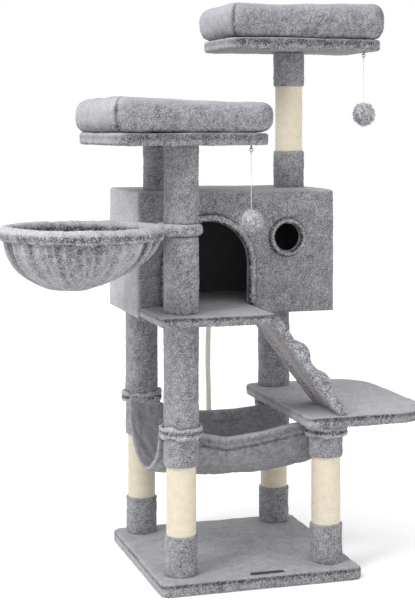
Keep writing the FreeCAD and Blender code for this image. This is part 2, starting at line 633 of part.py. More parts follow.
plate = fuse([cylinder("bracket_half", "bracket_thickness", *FRONT_LEFT, PLATE_LOW),
              block(PLATE_END, "2 * bracket_half", "bracket_thickness", f"-post_x - {PLATE_END}",
                    "post_front - bracket_half", PLATE_LOW)], "Plate")
finish(cut(plate, arm_bores + [pivot_bore], "Bracket"), "basket_bracket")

hem_space = torus("hoop_radius", f"hem_radius + {CLOTH_GAP}", *HOOP_AT)
bowl_space = cylinder("bag_radius + gap", THROUGH, BASKET_X, "post_front", f"tongue_bottom - {PAST}")
tongue_shape = fuse([
    cylinder("tongue_radius", "tongue_top - tongue_bottom", *FRONT_LEFT, "tongue_bottom"),
    block("basket_reach - hoop_radius + hem_radius", "2 * tongue_radius",
          "tongue_top - tongue_bottom", f"{HOOP_SIDE} - hem_radius",
          "post_front - tongue_radius", "tongue_bottom")], "TongueShape")
finish(cut(tongue_shape, [plate, hem_space, bowl_space, pivot_bore] + arm_bores, "Tongue"),
       "basket_tongue")
PANELS = 16             # equal panels of cloth sewn side by side around the basket
PANEL_TURN = 360 / PANELS
AROUND_Z = FreeCAD.Vector(0, 0, 1)


def panel_of(piece, number):
    """One panel of a round piece of cloth, cut out like a segment of an orange."""
    wedge = cylinder("hoop_radius + 2 * hem_radius", "2 * bag_depth", BASKET_X, "post_front",
                     f"{TONGUE_MIDDLE} - hem_radius - bag_depth - {PAST}")
    wedge.Angle = PANEL_TURN
    wedge.Placement.Rotation = FreeCAD.Rotation(AROUND_Z, number * PANEL_TURN)
    panel = doc.addObject("Part::Common", "Panel")
    panel.Base = piece
    panel.Tool = wedge
    return panel


def turned(panel, number):
    """A copy of a panel, turned to its place about the basket's upright axis."""
    angle = math.radians(number * PANEL_TURN)
    sine = f"({math.sin(angle):.9f})"
    rest = f"({1 - math.cos(angle):.9f})"
    copy = doc.addObject("Part::Compound", "TurnedPanel")
    copy.Links = [panel]
    copy.Placement.Rotation = FreeCAD.Rotation(AROUND_Z, number * PANEL_TURN)
    place(copy, f"{BASKET_X} * {rest} + post_front * {sine}",
          f"post_front * {rest} - {BASKET_X} * {sine}")
    return copy


hem = cut(torus("hoop_radius", "hem_radius", *HOOP_AT),
          [torus("hoop_radius", "hoop_wire", *HOOP_AT)] + arm_bores, "Hem")
group([panel_of(hem, number) for number in range(PANELS)], "basket_hem")
bag = cut(half_bowl("bag_radius", "bag_depth", 0),
          [half_bowl("bag_radius - bag_cloth", "bag_depth - bag_cloth", BOWL_OVERRUN),
           torus("hoop_radius", "hem_radius", *HOOP_AT)], "Bag")
bag_panel = panel_of(bag, 0)
group([turned(bag_panel, number) for number in range(PANELS)], "basket_bag")


# ---------------------------------------------------------------- hammock
LOOPS = ((FRONT_LEFT, "loop_front_left"), (BACK_LEFT, "loop_back_left"),
         (FRONT_RIGHT, "loop_right"), (BACK_RIGHT, "loop_right"))
loops = []
loop_spaces = []
for spot, level in LOOPS:
    low = f"({level} - loop_height / 2)"
    loops.append(pipe("loop_radius", "plush_radius", *spot, low, f"({level} + loop_height / 2)"))
    loop_spaces.append(cylinder("loop_radius", "loop_height", *spot, low))
group(loops, "hammock_loops")


def trough(radius, length, start):
    """Half a cylinder that lies along X with its open side up."""
    item = doc.addObject("Part::Cylinder", "Trough")
    bind(item, {"Radius": radius, "Height": length})
    item.Angle = 180
    turn = FreeCAD.Rotation(FreeCAD.Vector(0, 1, 0), 90).multiply(
        FreeCAD.Rotation(FreeCAD.Vector(0, 0, 1), -90))
    item.Placement = FreeCAD.Placement(FreeCAD.Vector(), turn)
    place(item, start, "hammock_y", "hammock_level")
    return item


sling = cut(trough("hammock_radius", "hammock_length", "-hammock_left"),
            [cylinder("hammock_radius - hammock_cloth", f"hammock_length + 2 * {PAST}",
                      f"-hammock_left - {PAST}", "hammock_y", "hammock_level", along="X")]
            + loop_spaces, "Sling")
finish(sling, "hammock_cloth")


# ---------------------------------------------------------------- things that hang and swing
eyes = []


def standing_torus(ring, wire, x, y, z, axis):
    """A ring that stands upright after a quarter turn about an axis."""
    item = torus(ring, wire, x, y, z)
    item.Placement.Rotation = FreeCAD.Rotation(axis, 90)
    return item


def hanger(label, x, y, ceiling, wire, ring):
    """A screw eye with a ring through it: returns the level of the ring's lowest wire.

    The eye stands in the YZ plane and the ring in the XZ plane, so that they link.
    """
    eye = standing_torus(ring, wire, x, y, f"{ceiling} - {ring} - {wire}", FreeCAD.Vector(0, 1, 0))
    shank = cylinder(wire, f"eye_depth + {wire}", x, y, f"{ceiling} - {wire}")
    eyes.append(fuse([eye, shank], "Eye"))
    link = standing_torus(ring, wire, x, y, f"{ceiling} - 3 * {ring} + {wire} + running",
                          FreeCAD.Vector(1, 0, 0))
    finish(link, label + "_ring")
    return f"({ceiling} - 4 * {ring} + {wire} + running)"


def ball(radius, x, y, z):
    item = doc.addObject("Part::Sphere", "Ball")
    bind(item, {"Radius": radius})
    place(item, x, y, z)
    return item


def toy(label, spot, ceiling, ball_level):
    """A plush ball on a string, with a small knot under the ring."""
    ring_foot = hanger(label, *spot, ceiling, "toy_wire", "toy_ring")
    knot = finish(ball("toy_knot", *spot, f"{ring_foot} - toy_wire - toy_knot - {KNOT_GAP}"),
                  label + "_knot")
    string = cylinder("string_radius", f"{ring_foot} - toy_ring - ({ball_level})", *spot, ball_level)
    sphere = ball("ball_radius", *spot, ball_level)
    finish(cut(string, [knot, sphere], "String"), label + "_string")
    finish(sphere, label + "_ball")


KNOT_GAP = "0.15"
toy("left_toy", LEFT_TOY, "big_bottom", "left_ball_z")
toy("right_toy", RIGHT_TOY, "high_bottom", "right_ball_z")

rope_foot = hanger("rope", "rope_x", "rope_y", "floor_bottom", "rope_wire", "rope_ring")
top_knot = finish(ball("rope_knot", "rope_x", "rope_y",
                       f"{rope_foot} - rope_wire - rope_knot - loose"), "rope_top_knot")
group(eyes, "screw_eyes")
rope_tuft = doc.addObject("Part::Ellipsoid", "RopeTuft")
bind(rope_tuft, {"Radius1": "rope_tuft_half", "Radius2": "rope_tuft_radius",
                 "Radius3": "rope_tuft_radius"})
place(rope_tuft, "rope_x", "rope_y",
      "floor_bottom - 4 * rope_ring - rope_knot - rope_length - rope_tuft_half / 2")
finish(rope_tuft, "rope_end_knot")

# the rope's two slight bends: sideways, backwards, and as a share of its length from the top
ROPE_BENDS = ((-4, -1, 0.33), (1, 1, 0.68))
BEND_SHARE = 0.45       # how much of its shorter run each bend takes up


def rope_route():
    """The rope's centre line, from its top knot to its end knot."""
    x, y, length = sizes.rope_x, sizes.rope_y, sizes.rope_length
    top = sizes.floor_bottom - 4 * sizes.rope_ring - sizes.rope_knot
    bends = [FreeCAD.Vector(x + aside, y + back, top - share * length)
             for aside, back, share in ROPE_BENDS]
    return [FreeCAD.Vector(x, y, top)] + bends + [FreeCAD.Vector(x, y, top - length)]


def tube_along(points, radius):
    """A round tube along straight runs, each corner an arc as wide as its runs allow."""
    edges = []
    at = points[0]
    for before, corner, after in zip(points, points[1:], points[2:]):
        coming = (corner - before).normalize()
        going = (after - corner).normalize()
        setback = BEND_SHARE * min((corner - before).Length, (after - corner).Length)
        half_turn = coming.getAngle(going) / 2
        first = corner - coming * setback
        last = corner + going * setback
        bow = (going - coming).normalize()
        arc_radius = setback / math.tan(half_turn)
        print(f"  bend radius {arc_radius:.0f} mm")
        centre = corner + bow * (arc_radius / math.cos(half_turn))
        middle = centre + (corner - centre).normalize() * arc_radius
        edges += [Part.LineSegment(at, first).toShape(), Part.Arc(first, middle, last).toShape()]
        at = last
    edges.append(Part.LineSegment(at, points[-1]).toShape())
    spine = Part.Wire(edges)
    start = (points[1] - points[0]).normalize()
    profile = Part.Wire([Part.Circle(points[0], start, radius).toShape()])
    solid = spine.makePipeShell([profile], True, False)
    expected = math.pi * radius ** 2 * spine.Length
    print(f"  length {spine.Length:.1f} mm, volume {solid.Volume:.0f}, section x length {expected:.0f}")
    return solid


doc.recompute()
rope = doc.addObject("Part::Feature", "Rope")
rope.Shape = tube_along(rope_route(), sizes.rope_radius).cut(top_knot.Shape).cut(rope_tuft.Shape)
finish(rope, "rope")

# ---------------------------------------------------------------- checks and export
doc.recompute()
for item in doc.Objects:
    if "Invalid" in item.State or "Error" in item.State:
        raise RuntimeError(f"{item.Label}: {item.State}")
os.makedirs("parts", exist_ok=True)
labels = [item.Label for item in subparts]
assert len(set(labels)) == len(labels), "two sub-parts share a name"
for item in subparts:
    shape = item.Shape
    if shape.isNull() or not shape.isValid() or not shape.Solids:
        raise RuntimeError(f"{item.Label}: no valid solid")
    shape.exportStep(f"parts/{item.Label}.step")
    print(f"{item.Label}: {len(shape.Solids)} solids, {shape.Volume / 1000:.1f} cm3")
print(len(subparts), "nodes")
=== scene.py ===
# %% [markdown]
# # Cat tree
# A plush and sisal cat tree: a base with four posts, a cabin, two bolstered perches, a basket,
# a hammock, a ramp, two toys and a rope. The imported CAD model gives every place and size, and
# each soft piece is made here as a surface of its own. Metres, +Z up, +Y to the back.

# %% Load the frame
import json
import math
import bmesh
import bpy
import numpy as np
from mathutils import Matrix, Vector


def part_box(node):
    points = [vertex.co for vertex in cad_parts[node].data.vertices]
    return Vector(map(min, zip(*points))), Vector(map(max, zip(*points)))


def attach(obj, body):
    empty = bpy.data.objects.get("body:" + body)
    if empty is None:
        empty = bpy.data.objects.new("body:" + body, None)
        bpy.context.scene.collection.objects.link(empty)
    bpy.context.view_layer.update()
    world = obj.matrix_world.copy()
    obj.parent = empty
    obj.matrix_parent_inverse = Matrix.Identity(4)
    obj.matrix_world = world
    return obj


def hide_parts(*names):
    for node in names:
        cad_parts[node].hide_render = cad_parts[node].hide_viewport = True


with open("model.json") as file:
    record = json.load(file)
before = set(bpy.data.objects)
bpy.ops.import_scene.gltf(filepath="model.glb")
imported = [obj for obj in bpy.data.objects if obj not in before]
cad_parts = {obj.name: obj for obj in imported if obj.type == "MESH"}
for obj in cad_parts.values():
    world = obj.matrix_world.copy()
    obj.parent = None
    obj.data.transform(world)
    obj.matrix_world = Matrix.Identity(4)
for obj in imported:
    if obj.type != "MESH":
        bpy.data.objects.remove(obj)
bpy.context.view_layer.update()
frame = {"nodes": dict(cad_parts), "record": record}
nodes = frame["nodes"]

# %% [markdown]
# ## Camera and light
# The camera stands to the left of the front at the height of the cabin's roof and looks level, so
# that the posts stay upright in the picture. A vertical shift, and not a tilt, frames the base.

# %% Camera
TURN = math.radians(16.65)
camera_data = bpy.data.cameras.new("Camera")
camera_data.lens = 85.81
camera_data.sensor_width = 36
camera_data.shift_x = 0.0181
camera_data.shift_y = -0.2885
camera = bpy.data.objects.new("Camera", camera_data)
camera.location = (-1.1154, -3.4186, 1.0850)
camera.rotation_euler = (math.radians(90), 0, -TURN)
bpy.context.scene.collection.objects.link(camera)
bpy.context.scene.camera = camera
print("camera at", tuple(camera.location))

# %% [markdown]
# ## Floor and light
# A white floor and a nearly white room give the even light of a studio. A large lamp high on the
# left, and a weaker one on the right, give the rounded pieces their soft shade.

# %% Floor, room and lamps
bpy.ops.mesh.primitive_plane_add(size=60)
floor = bpy.context.object
floor.name = "studio_floor"


def lamp(name, place, aim, size, power):
    """A square lamp that shines from its place towards a point."""
    data = bpy.data.lights.new(name, "AREA")
    data.size = size
    data.energy = power
    item = bpy.data.objects.new(name, data)
    item.location = place
    way = np.array(aim) - np.array(place)
    item.rotation_euler = (math.acos(-way[2] / np.linalg.norm(way)), 0,
                           math.atan2(way[1], way[0]) - math.pi / 2)
    bpy.context.scene.collection.objects.link(item)


lamp("key_lamp", (-2.6, -1.6, 3.8), (0, 0, 0.8), 1.4, 105)
lamp("fill_lamp", (2.6, -2.6, 1.8), (0, 0, 0.7), 2.4, 14)
world = bpy.data.worlds.new("Room")
bpy.context.scene.world = world
world.use_nodes = True
world.node_tree.nodes["Background"].inputs["Color"].default_value = (1, 1, 1, 1)
world.node_tree.nodes["Background"].inputs["Strength"].default_value = 1.0
bpy.context.scene.view_settings.view_transform = "Standard"
print("lamps:", [light.name for light in bpy.data.lights])

# %% [markdown]
# ## Surfaces from arrays
# Every soft piece is a grid of points worked out with numpy, rows by columns. The helper below
# turns such grids into one mesh. It closes a grid that meets itself, merges the points of a pole,
# gives the mesh a UV map in metres, and turns its faces outwards.

# %% Grid to mesh
def points_of(x, y, z):
    """Three arrays of coordinates, stretched to one shape, as one array of points."""
    return np.stack(np.broadcast_arrays(x, y, z), axis=-1)


def grid_faces(grid, around, along, start):
    """Corner numbers and UVs of the quads between neighbouring rows and columns of a grid."""
    rows, columns = grid.shape[:2]
    index = start + np.arange(rows * columns).reshape(rows, columns)
    points = grid
    if around:
        index = np.concatenate([index, index[:, :1]], axis=1)
        points = np.concatenate([points, points[:, :1]], axis=1)
    if along:
        index = np.concatenate([index, index[:1]], axis=0)
        points = np.concatenate([points, points[:1]], axis=0)
    across = np.linalg.norm(np.diff(points, axis=1), axis=2).max(axis=0)
    down = np.linalg.norm(np.diff(points, axis=0), axis=2).mean(axis=1)
    u, v = np.meshgrid(np.concatenate([[0], across.cumsum()]),
                       np.concatenate([[0], down.cumsum()]))
    uv = np.stack([u, v], axis=-1)
    corners = [np.s_[:-1, :-1], np.s_[:-1, 1:], np.s_[1:, 1:], np.s_[1:, :-1]]
    quads = np.stack([index[c] for c in corners], axis=-1).reshape(-1, 4)
    quad_uv = np.stack([uv[c] for c in corners], axis=-2).reshape(-1, 4, 2)
    return quads, quad_uv


def shell(name, grids, around=True, along=True):
    """One mesh from several grids; around closes the rows, along closes the columns."""
    start = 0
    quads = []
    uvs = []
    for grid in grids:
        new_quads, new_uv = grid_faces(grid, around, along, start)
        quads.append(new_quads)
        uvs.append(new_uv)
        start += grid.shape[0] * grid.shape[1]
    points = np.concatenate([grid.reshape(-1, 3) for grid in grids])
    quads = np.concatenate(quads)
    mesh = bpy.data.meshes.new(name)
    mesh.vertices.add(len(points))
    mesh.vertices.foreach_set("co", points.astype(np.float32).ravel())
    mesh.loops.add(quads.size)
    mesh.loops.foreach_set("vertex_index", quads.astype(np.int32).ravel())
    mesh.polygons.add(len(quads))
    mesh.polygons.foreach_set("loop_start", np.arange(0, quads.size, 4, dtype=np.int32))
    mesh.update(calc_edges=True)
    layer = mesh.uv_layers.new(name="Cloth")
    layer.data.foreach_set("uv", np.concatenate(uvs).astype(np.float32).ravel())
    return tidy_mesh(name, mesh)


def tidy_mesh(name, mesh):
    """Merge points that coincide, turn each shell outwards, and link the piece to the scene."""
    work = bmesh.new()
    work.from_mesh(mesh)
    bmesh.ops.remove_doubles(work, verts=work.verts, dist=2e-5)
    bmesh.ops.dissolve_degenerate(work, edges=work.edges, dist=1e-6)
    work.to_mesh(mesh)
    work.free()
    mesh.calc_loop_triangles()
    triangles = np.empty(len(mesh.loop_triangles) * 3, np.int32)
    mesh.loop_triangles.foreach_get("vertices", triangles)
    points = places(mesh)
    a, b, c = points[triangles.reshape(-1, 3)].transpose(1, 0, 2) - points.mean(axis=0)
    if np.einsum("ij,ij->i", a, np.cross(b, c)).sum() < 0:
        mesh.flip_normals()
    mesh.polygons.foreach_set("use_smooth", np.ones(len(mesh.polygons), bool))
    piece = bpy.data.objects.new(name, mesh)
    bpy.context.scene.collection.objects.link(piece)
    return piece


def places(mesh):
    """A mesh's points as an array."""
    flat = np.empty(len(mesh.vertices) * 3, np.float32)
    mesh.vertices.foreach_get("co", flat)
    return flat.reshape(-1, 3).astype(float)


def facings(mesh):
    """A mesh's directions outwards at its points."""
    flat = np.empty(len(mesh.vertices) * 3, np.float32)
    mesh.vertex_normals.foreach_get("vector", flat)
    return flat.reshape(-1, 3).astype(float)


print("helpers ready")

# %% [markdown]
# ## Pile
# Plush is a cloth with a soft pile about 8 mm long. Its tufts bunch in small clumps, light at the
# tips and dark between them. Real hair would be far too many strands, so the pile is a slight
# roughness of the surface itself, and the same numbers colour the tips and roots. Two attributes
# go with each piece. The pile is how high a point stands in its clump, with painted shade in folds,
# grooves and under overhangs, and painted light along some edges. The lay is how flat the pile is
# combed. It is highest on faces turned up and to the left, towards the key lamp, so it also paints
# light on them.

# %% Smooth random numbers and the pile
def cloud(points, size, seed):
    """Random numbers from -1 to 1 that change smoothly over size metres.

    A lattice holds a random number at each corner, and a point takes the mean of its eight
    corners, weighted by 3t^2 - 2t^3 of its distance t along each axis.
    """
    table = np.random.default_rng(seed).uniform(-1, 1, (64, 64, 64))
    place = points / size
    low = np.floor(place).astype(int)
    part = place - low
    part = part * part * (3 - 2 * part)
    total = np.zeros(points.shape[:-1])
    for corner in np.ndindex(2, 2, 2):
        weight = np.prod(np.where(np.array(corner) == 1, part, 1 - part), axis=-1)
        cell = (low + np.array(corner)) % 64
        total += weight * table[cell[..., 0], cell[..., 1], cell[..., 2]]
    return total


# Up and to the left, towards the key lamp: faces turned this way get a high lay, which paints light on
# them.
LEFT_TOP = np.array((-0.9, -0.1, 1.0))


def fluff(piece, depth=0.0014, swell=0.0012, seed=1, lean=0.5, combed=1.0, crease=None):
    """Raise a piece's points into clumps of pile.

    Height is depth x (0.7 fine + 0.3 middling cloud) plus swell x a coarse cloud; clumps that
    stand high also lean downwards by lean x their height. crease(points, out) gives the painted
    shade in folds, grooves and seams and under overhangs, from 0 to 1; below 0 it paints light.
    Faces turned towards the key lamp get a high lay: a flatter pile, and painted light in the
    Heather group.
    """
    mesh = piece.data
    points = places(mesh)
    out = facings(mesh)
    clump = 0.7 * cloud(points, 0.0048, seed) + 0.3 * cloud(points, 0.0105, seed + 1)
    coarse = cloud(points, 0.045, seed + 2)
    # Painted light: the lay grows on faces turned towards the key lamp, and the crease's painted shade
    # lowers both the lay and the pile.
    lay_and_light = np.clip(out @ (LEFT_TOP / np.linalg.norm(LEFT_TOP)), 0, 1) ** 1.5
    dark = crease(points, out) if crease else 0 * lay_and_light
    lay_and_light = np.clip(1.5 * combed * lay_and_light - dark, 0, 1)
    height = depth * clump * (1 - 0.6 * lay_and_light) + swell * coarse
    moved = points + out * height[:, None]
    moved[:, 2] -= lean * depth * np.clip(clump, 0, 1) * (1 - np.abs(out[:, 2]))
    mesh.vertices.foreach_set("co", moved.astype(np.float32).ravel())
    for title, values in (("pile_and_shading", 0.5 + 0.5 * clump - dark), ("lay_and_light", lay_and_light)):
        attribute = mesh.attributes.new(title, "FLOAT", "POINT")
        attribute.data.foreach_set("value", values.astype(np.float32))
    mesh.update()
    return piece


def edge_shade_line(level, width=0.004, depth=0.6):
    """A dark line of painted shade round a board's side: depth x exp(-((z - level) / width)^2) on upright
    faces.
    """
    def crease(points, out):
        return depth * np.exp(-((points[:, 2] - level) / width) ** 2) * (np.abs(out[:, 2]) < 0.9)
    return crease


print("pile: clumps about 5 mm and 10 mm across")

# %% [markdown]
# ## Rounded outlines
# The boards, the beds and the cabin all follow a polygon with rounded corners. Moving it inwards
# keeps every wall even: a corner turned outwards loses radius and one turned inwards gains it.

# %% Outline and wrapped board
def outline(corners, radii, inset, step=0.005, arc_steps=7):
    """Points round a polygon with rounded corners, moved inwards by inset.

    Each corner moves along its two inward directions, its arc keeps touching both sides, and the
    points between two arcs are shared out evenly. inset may be an array of rows (rows x 1).
    """
    corners = np.array(corners, float)
    radii = np.array(radii, float)
    ahead = np.roll(corners, -1, axis=0) - corners
    lengths = np.linalg.norm(ahead, axis=1)
    go = ahead / lengths[:, None]
    come = np.roll(go, 1, axis=0)
    turn = np.arctan2(come[:, 0] * go[:, 1] - come[:, 1] * go[:, 0], (come * go).sum(axis=1))
    inward = np.stack([-come[:, 1], come[:, 0]], axis=1)
    inward_next = np.stack([-go[:, 1], go[:, 0]], axis=1)
    slide = (inward + inward_next) / (1 + (inward * inward_next).sum(axis=1))[:, None]
    corner, share, across = [], [], []
    for k in range(len(corners)):
        arc = np.linspace(0, 1, arc_steps + 1)
        straight = np.arange(1, max(2, round(lengths[k] / step))) / max(2, round(lengths[k] / step))
        corner.append(np.full(len(arc) + len(straight), k))
        share.append(np.concatenate([arc, np.ones(len(straight))]))
        across.append(np.concatenate([np.zeros(len(arc)), straight]))
    corner, share, across = (np.concatenate(part) for part in (corner, share, across))
    inset = np.asarray(inset, float)

    def on_arc(k, along_arc):
        radius = np.maximum(radii[k] - np.sign(turn[k]) * inset, 0.0006)[..., None]
        spot = corners[k] + inset[..., None] * slide[k]
        bend = np.abs(turn[k])[:, None] / 2
        first = spot - come[k] * radius * np.tan(bend)
        side = np.sign(turn[k])[:, None]
        middle = first + side * inward[k] * radius
        angle = turn[k] * along_arc
        spoke = -side * inward[k]
        turned = np.stack([spoke[:, 0] * np.cos(angle) - spoke[:, 1] * np.sin(angle),
                           spoke[:, 0] * np.sin(angle) + spoke[:, 1] * np.cos(angle)], axis=1)
        return middle + radius * turned

    here = on_arc(corner, share)
    there = on_arc((corner + 1) % len(corners), np.zeros(len(corner)))
    return here + across[:, None] * (there - here)


def rectangle(low_x, low_y, high_x, high_y):
    """A rectangle's corners, anticlockwise."""
    return [(low_x, low_y), (high_x, low_y), (high_x, high_y), (low_x, high_y)]


def wrapped_board(name, corners, radii, low, high, edge, centre, puff=0.002, seam=None,
                  step=0.005):
    """A board in a plush cover: its underside, rounded edges, sides and top as one surface.

    A profile of (inset, level) runs from the underside's middle round the edge to the top's
    middle. Where it crosses the flat faces, the outline shrinks towards the centre instead.
    """
    bend = np.linspace(0, math.pi / 2, 5)
    side = np.linspace(low + edge, high - edge, max(3, round((high - low - 2 * edge) / 0.004)))
    inner = np.linspace(1, 0, max(4, round(np.ptp(np.array(corners), axis=0).max() / 2 / step)))
    rows = [(edge, low, q) for q in (0, 0.3, 0.6, 0.9)]
    rows += [(edge * (1 - math.sin(a)), low + edge * (1 - math.cos(a)), 1) for a in bend]
    rows += [(0, z, 1) for z in side[1:-1]]
    rows += [(edge * (1 - math.cos(a)), high - edge * (1 - math.sin(a)), 1) for a in bend]
    rows += [(edge, high + puff * (1 - q ** 4), q) for q in inner[1:]]
    inset, level, share = (np.array(part)[:, None] for part in zip(*rows))
    if seam is not None:
        inset = inset + 0.0016 * np.exp(-((level - seam) / 0.0022) ** 2) * (share == 1)
    flat = outline(corners, radii, inset, step)
    centre = np.array(centre)
    flat = centre + (flat - centre) * share[..., None]
    grid = np.concatenate([flat, np.broadcast_to(level[..., None], flat.shape[:2] + (1,))], axis=2)
    return shell(name, [grid], around=True, along=False)


print("outline of a square with 22 mm corners:",
      outline(rectangle(-0.25, -0.25, 0.25, 0.25), [0.022] * 4, 0.0).shape)

# %% [markdown]
# ## Cords
# The rope hangs from a screw eye under the cabin, and a thin string carries each toy. Each is a
# smooth NURBS line through the same points as its solid. The rope is laid from three strands, so
# its mesh is a three-lobed section that turns as it follows that line.

# %% Centre lines of the rope and the strings
def centre_line(name, points):
    """A smooth curve of one open spline, and the points along it as an array."""
    curve = bpy.data.curves.new(name, "CURVE")
    curve.dimensions = "3D"
    curve.resolution_u = 24
    spline = curve.splines.new("NURBS")
    spline.points.add(len(points) - 1)
    spline.points.foreach_set("co", np.array([(*p, 1) for p in points]).ravel())
    spline.order_u = 3
    spline.use_endpoint_u = True
    item = bpy.data.objects.new(name, curve)
    bpy.context.scene.collection.objects.link(item)
    line = bpy.data.meshes.new_from_object(item)
    path = places(line)
    bpy.data.objects.remove(item)
    return path


def tube_on(path, radius_of, columns=16):
    """A closed tube round a path: radius_of(angle, distance along the path) gives its radius."""
    ahead = np.gradient(path, axis=0)
    ahead /= np.linalg.norm(ahead, axis=1)[:, None]
    side = np.cross(ahead, (0.0, 1.0, 0.0))
    side /= np.linalg.norm(side, axis=1)[:, None]
    up = np.cross(side, ahead)
    run = np.concatenate([[0], np.linalg.norm(np.diff(path, axis=0), axis=1).cumsum()])
    angle = np.linspace(0, 2 * math.pi, columns, endpoint=False)[None]
    radius = radius_of(angle, run[:, None])[..., None]
    grid = path[:, None] + radius * (np.cos(angle)[..., None] * side[:, None]
                                     + np.sin(angle)[..., None] * up[:, None])
    ends = np.repeat(path[[0, -1], None], columns, axis=1)
    return np.concatenate([ends[:1], grid, ends[1:]])


ROPE_POINTS = ((0.008, 0.226, 0.5770), (0.004, 0.225, 0.4717), (0.009, 0.227, 0.3601),
               (0.008, 0.226, 0.2580))
ROPE_RADIUS = 0.007
rope_path = centre_line("rope_line", ROPE_POINTS)
fine = np.linspace(0, 1, 220)
steps = np.linspace(0, 1, len(rope_path))
rope_path = np.stack([np.interp(fine, steps, rope_path[:, k]) for k in range(3)], axis=1)


def three_strands(angle, run):
    """0.86 of the radius plus 0.14 x |cos(1.5 x (angle - turn))|: three lobes, one turn in 42 mm."""
    return ROPE_RADIUS * (0.84 + 0.16 * np.abs(np.cos(1.5 * (angle - run * 2 * math.pi / 0.042))))


rope = shell("hanging_rope", [tube_on(rope_path, three_strands, 30)], along=False)
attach(rope, "rope_body")
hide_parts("rope")
print("rope length:", round(np.linalg.norm(np.diff(rope_path, axis=0), axis=1).sum(), 4))

# %% Toy strings
STRINGS = {"left_toy": (-0.0275, -0.230), "right_toy": (0.347, -0.025)}
STRING_RADIUS = 0.00075
strings = {}
for toy, (x, y) in STRINGS.items():
    low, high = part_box(toy + "_string")
    bottom, top = low.z - 0.004, high.z
    bends = ((x, y, top), (x, y, top - 0.02), (x, y, (top + bottom) / 2), (x, y, bottom))
    path = centre_line(toy + "_line", bends)
    string = shell(toy + "_thread", [tube_on(
        path, lambda angle, run: STRING_RADIUS * (1 + 0.12 * np.cos(2 * angle + run * 900)), 8)],
        along=False)
    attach(string, toy)
    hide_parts(toy + "_string")
    strings[toy] = (string, path)
    print(toy, "string length", round(top - bottom, 4))

# %% [markdown]
# ## Shared effects
# Two node groups serve most finishes. "Heather" mixes a dark root and a light tip colour by the
# pile, fine specks and slow patches; the pile carries painted shade in folds and grooves, and the
# lay paints light on faces turned towards the key lamp. "Fibre" gives fine streaks along one
# direction, for sisal, rope, string and wood. Each material sets its own constants on the
# Principled shader.

# %% Node group helpers
def new_group(name, inputs, outputs):
    """A node group with named float or colour sockets; returns its tree and its two end nodes."""
    tree = bpy.data.node_groups.new(name, "ShaderNodeTree")
    for title, kind, value in inputs:
        socket = tree.interface.new_socket(title, in_out="INPUT", socket_type="NodeSocket" + kind)
        if value is not None:
            socket.default_value = value
    for title, kind in outputs:
        tree.interface.new_socket(title, in_out="OUTPUT", socket_type="NodeSocket" + kind)
    return tree, tree.nodes.new("NodeGroupInput"), tree.nodes.new("NodeGroupOutput")


def add(tree, kind, links=(), **settings):
    """A shader node with settings; links are (input name or number, socket or value)."""
    node = tree.nodes.new("ShaderNode" + kind)
    for title, value in settings.items():
        setattr(node, title, value)
    for where, what in links:
        if isinstance(what, bpy.types.NodeSocket):
            tree.links.new(what, node.inputs[where])
        else:
            node.inputs[where].default_value = what
    return node


def math_node(tree, kind, a, b=0.0, clamp=False):
    """One arithmetic node's result."""
    return add(tree, "Math", [(0, a), (1, b)], operation=kind, use_clamp=clamp).outputs[0]


def noise(tree, where, scale, detail=2.0, rough=0.5):
    """A noise texture's value, from 0 to 1."""
    links = [("Vector", where), ("Scale", scale), ("Detail", detail), ("Roughness", rough)]
    return add(tree, "TexNoise", links).outputs["Fac"]


# %% Heather group
heather, heather_in, heather_out = new_group(
    "Heather",
    [("Place", "Vector", None), ("Pile_and_shading", "Float", 0.5), ("Lay_and_light", "Float", 0.0),
     ("Root", "Color", (0.1, 0.1, 0.105, 1)), ("Tip", "Color", (0.6, 0.6, 0.62, 1)),
     ("Specks", "Float", 0.9), ("Level", "Float", 0.5)],
    [("Color", "Color"), ("Height", "Float")])
place, pile_and_shading, lay_and_light = (heather_in.outputs[name] for name in ("Place", "Pile_and_shading", "Lay_and_light"))
combed = add(heather, "VectorMath", [(0, place), (1, (520.0, 150.0, 300.0))],
             operation="MULTIPLY").outputs[0]
specks = noise(heather, place, 330.0, 3.0, 0.7)
streaks = noise(heather, combed, 1.0, 2.0, 0.6)
patches = noise(heather, place, 26.0, 2.0, 0.5)
spread = math_node(heather, "SUBTRACT", specks, 0.5)
flat_spread = math_node(heather, "MULTIPLY", math_node(heather, "SUBTRACT", streaks, 0.5), 0.5)
grain = add(heather, "Mix", [(0, lay_and_light), (2, spread), (3, flat_spread)], data_type="FLOAT").outputs[0]
grain = math_node(heather, "MULTIPLY", grain, heather_in.outputs["Specks"])
# The pile brings the clump height together with the painted shade and painted light of folds and edges.
clumps = math_node(heather, "MULTIPLY", math_node(heather, "SUBTRACT", pile_and_shading, 0.5),
                   math_node(heather, "SUBTRACT", 0.6, math_node(heather, "MULTIPLY", lay_and_light, 0.4)))
slow = math_node(heather, "MULTIPLY", math_node(heather, "SUBTRACT", patches, 0.5), 0.35)
total = math_node(heather, "ADD", math_node(heather, "ADD", grain, clumps), slow)
# Painted light: faces with a high lay, turned towards the key lamp, are lightened by up to 0.34.
total = math_node(heather, "ADD", total, math_node(heather, "MULTIPLY", lay_and_light, 0.34))
mask = math_node(heather, "ADD", total, heather_in.outputs["Level"], clamp=True)
colour = add(heather, "Mix", [(0, mask), (6, heather_in.outputs["Root"]),
                              (7, heather_in.outputs["Tip"])], data_type="RGBA").outputs[2]
heather.links.new(colour, heather_out.inputs["Color"])
heather.links.new(mask, heather_out.inputs["Height"])
print("Heather group:", len(heather.nodes), "nodes")

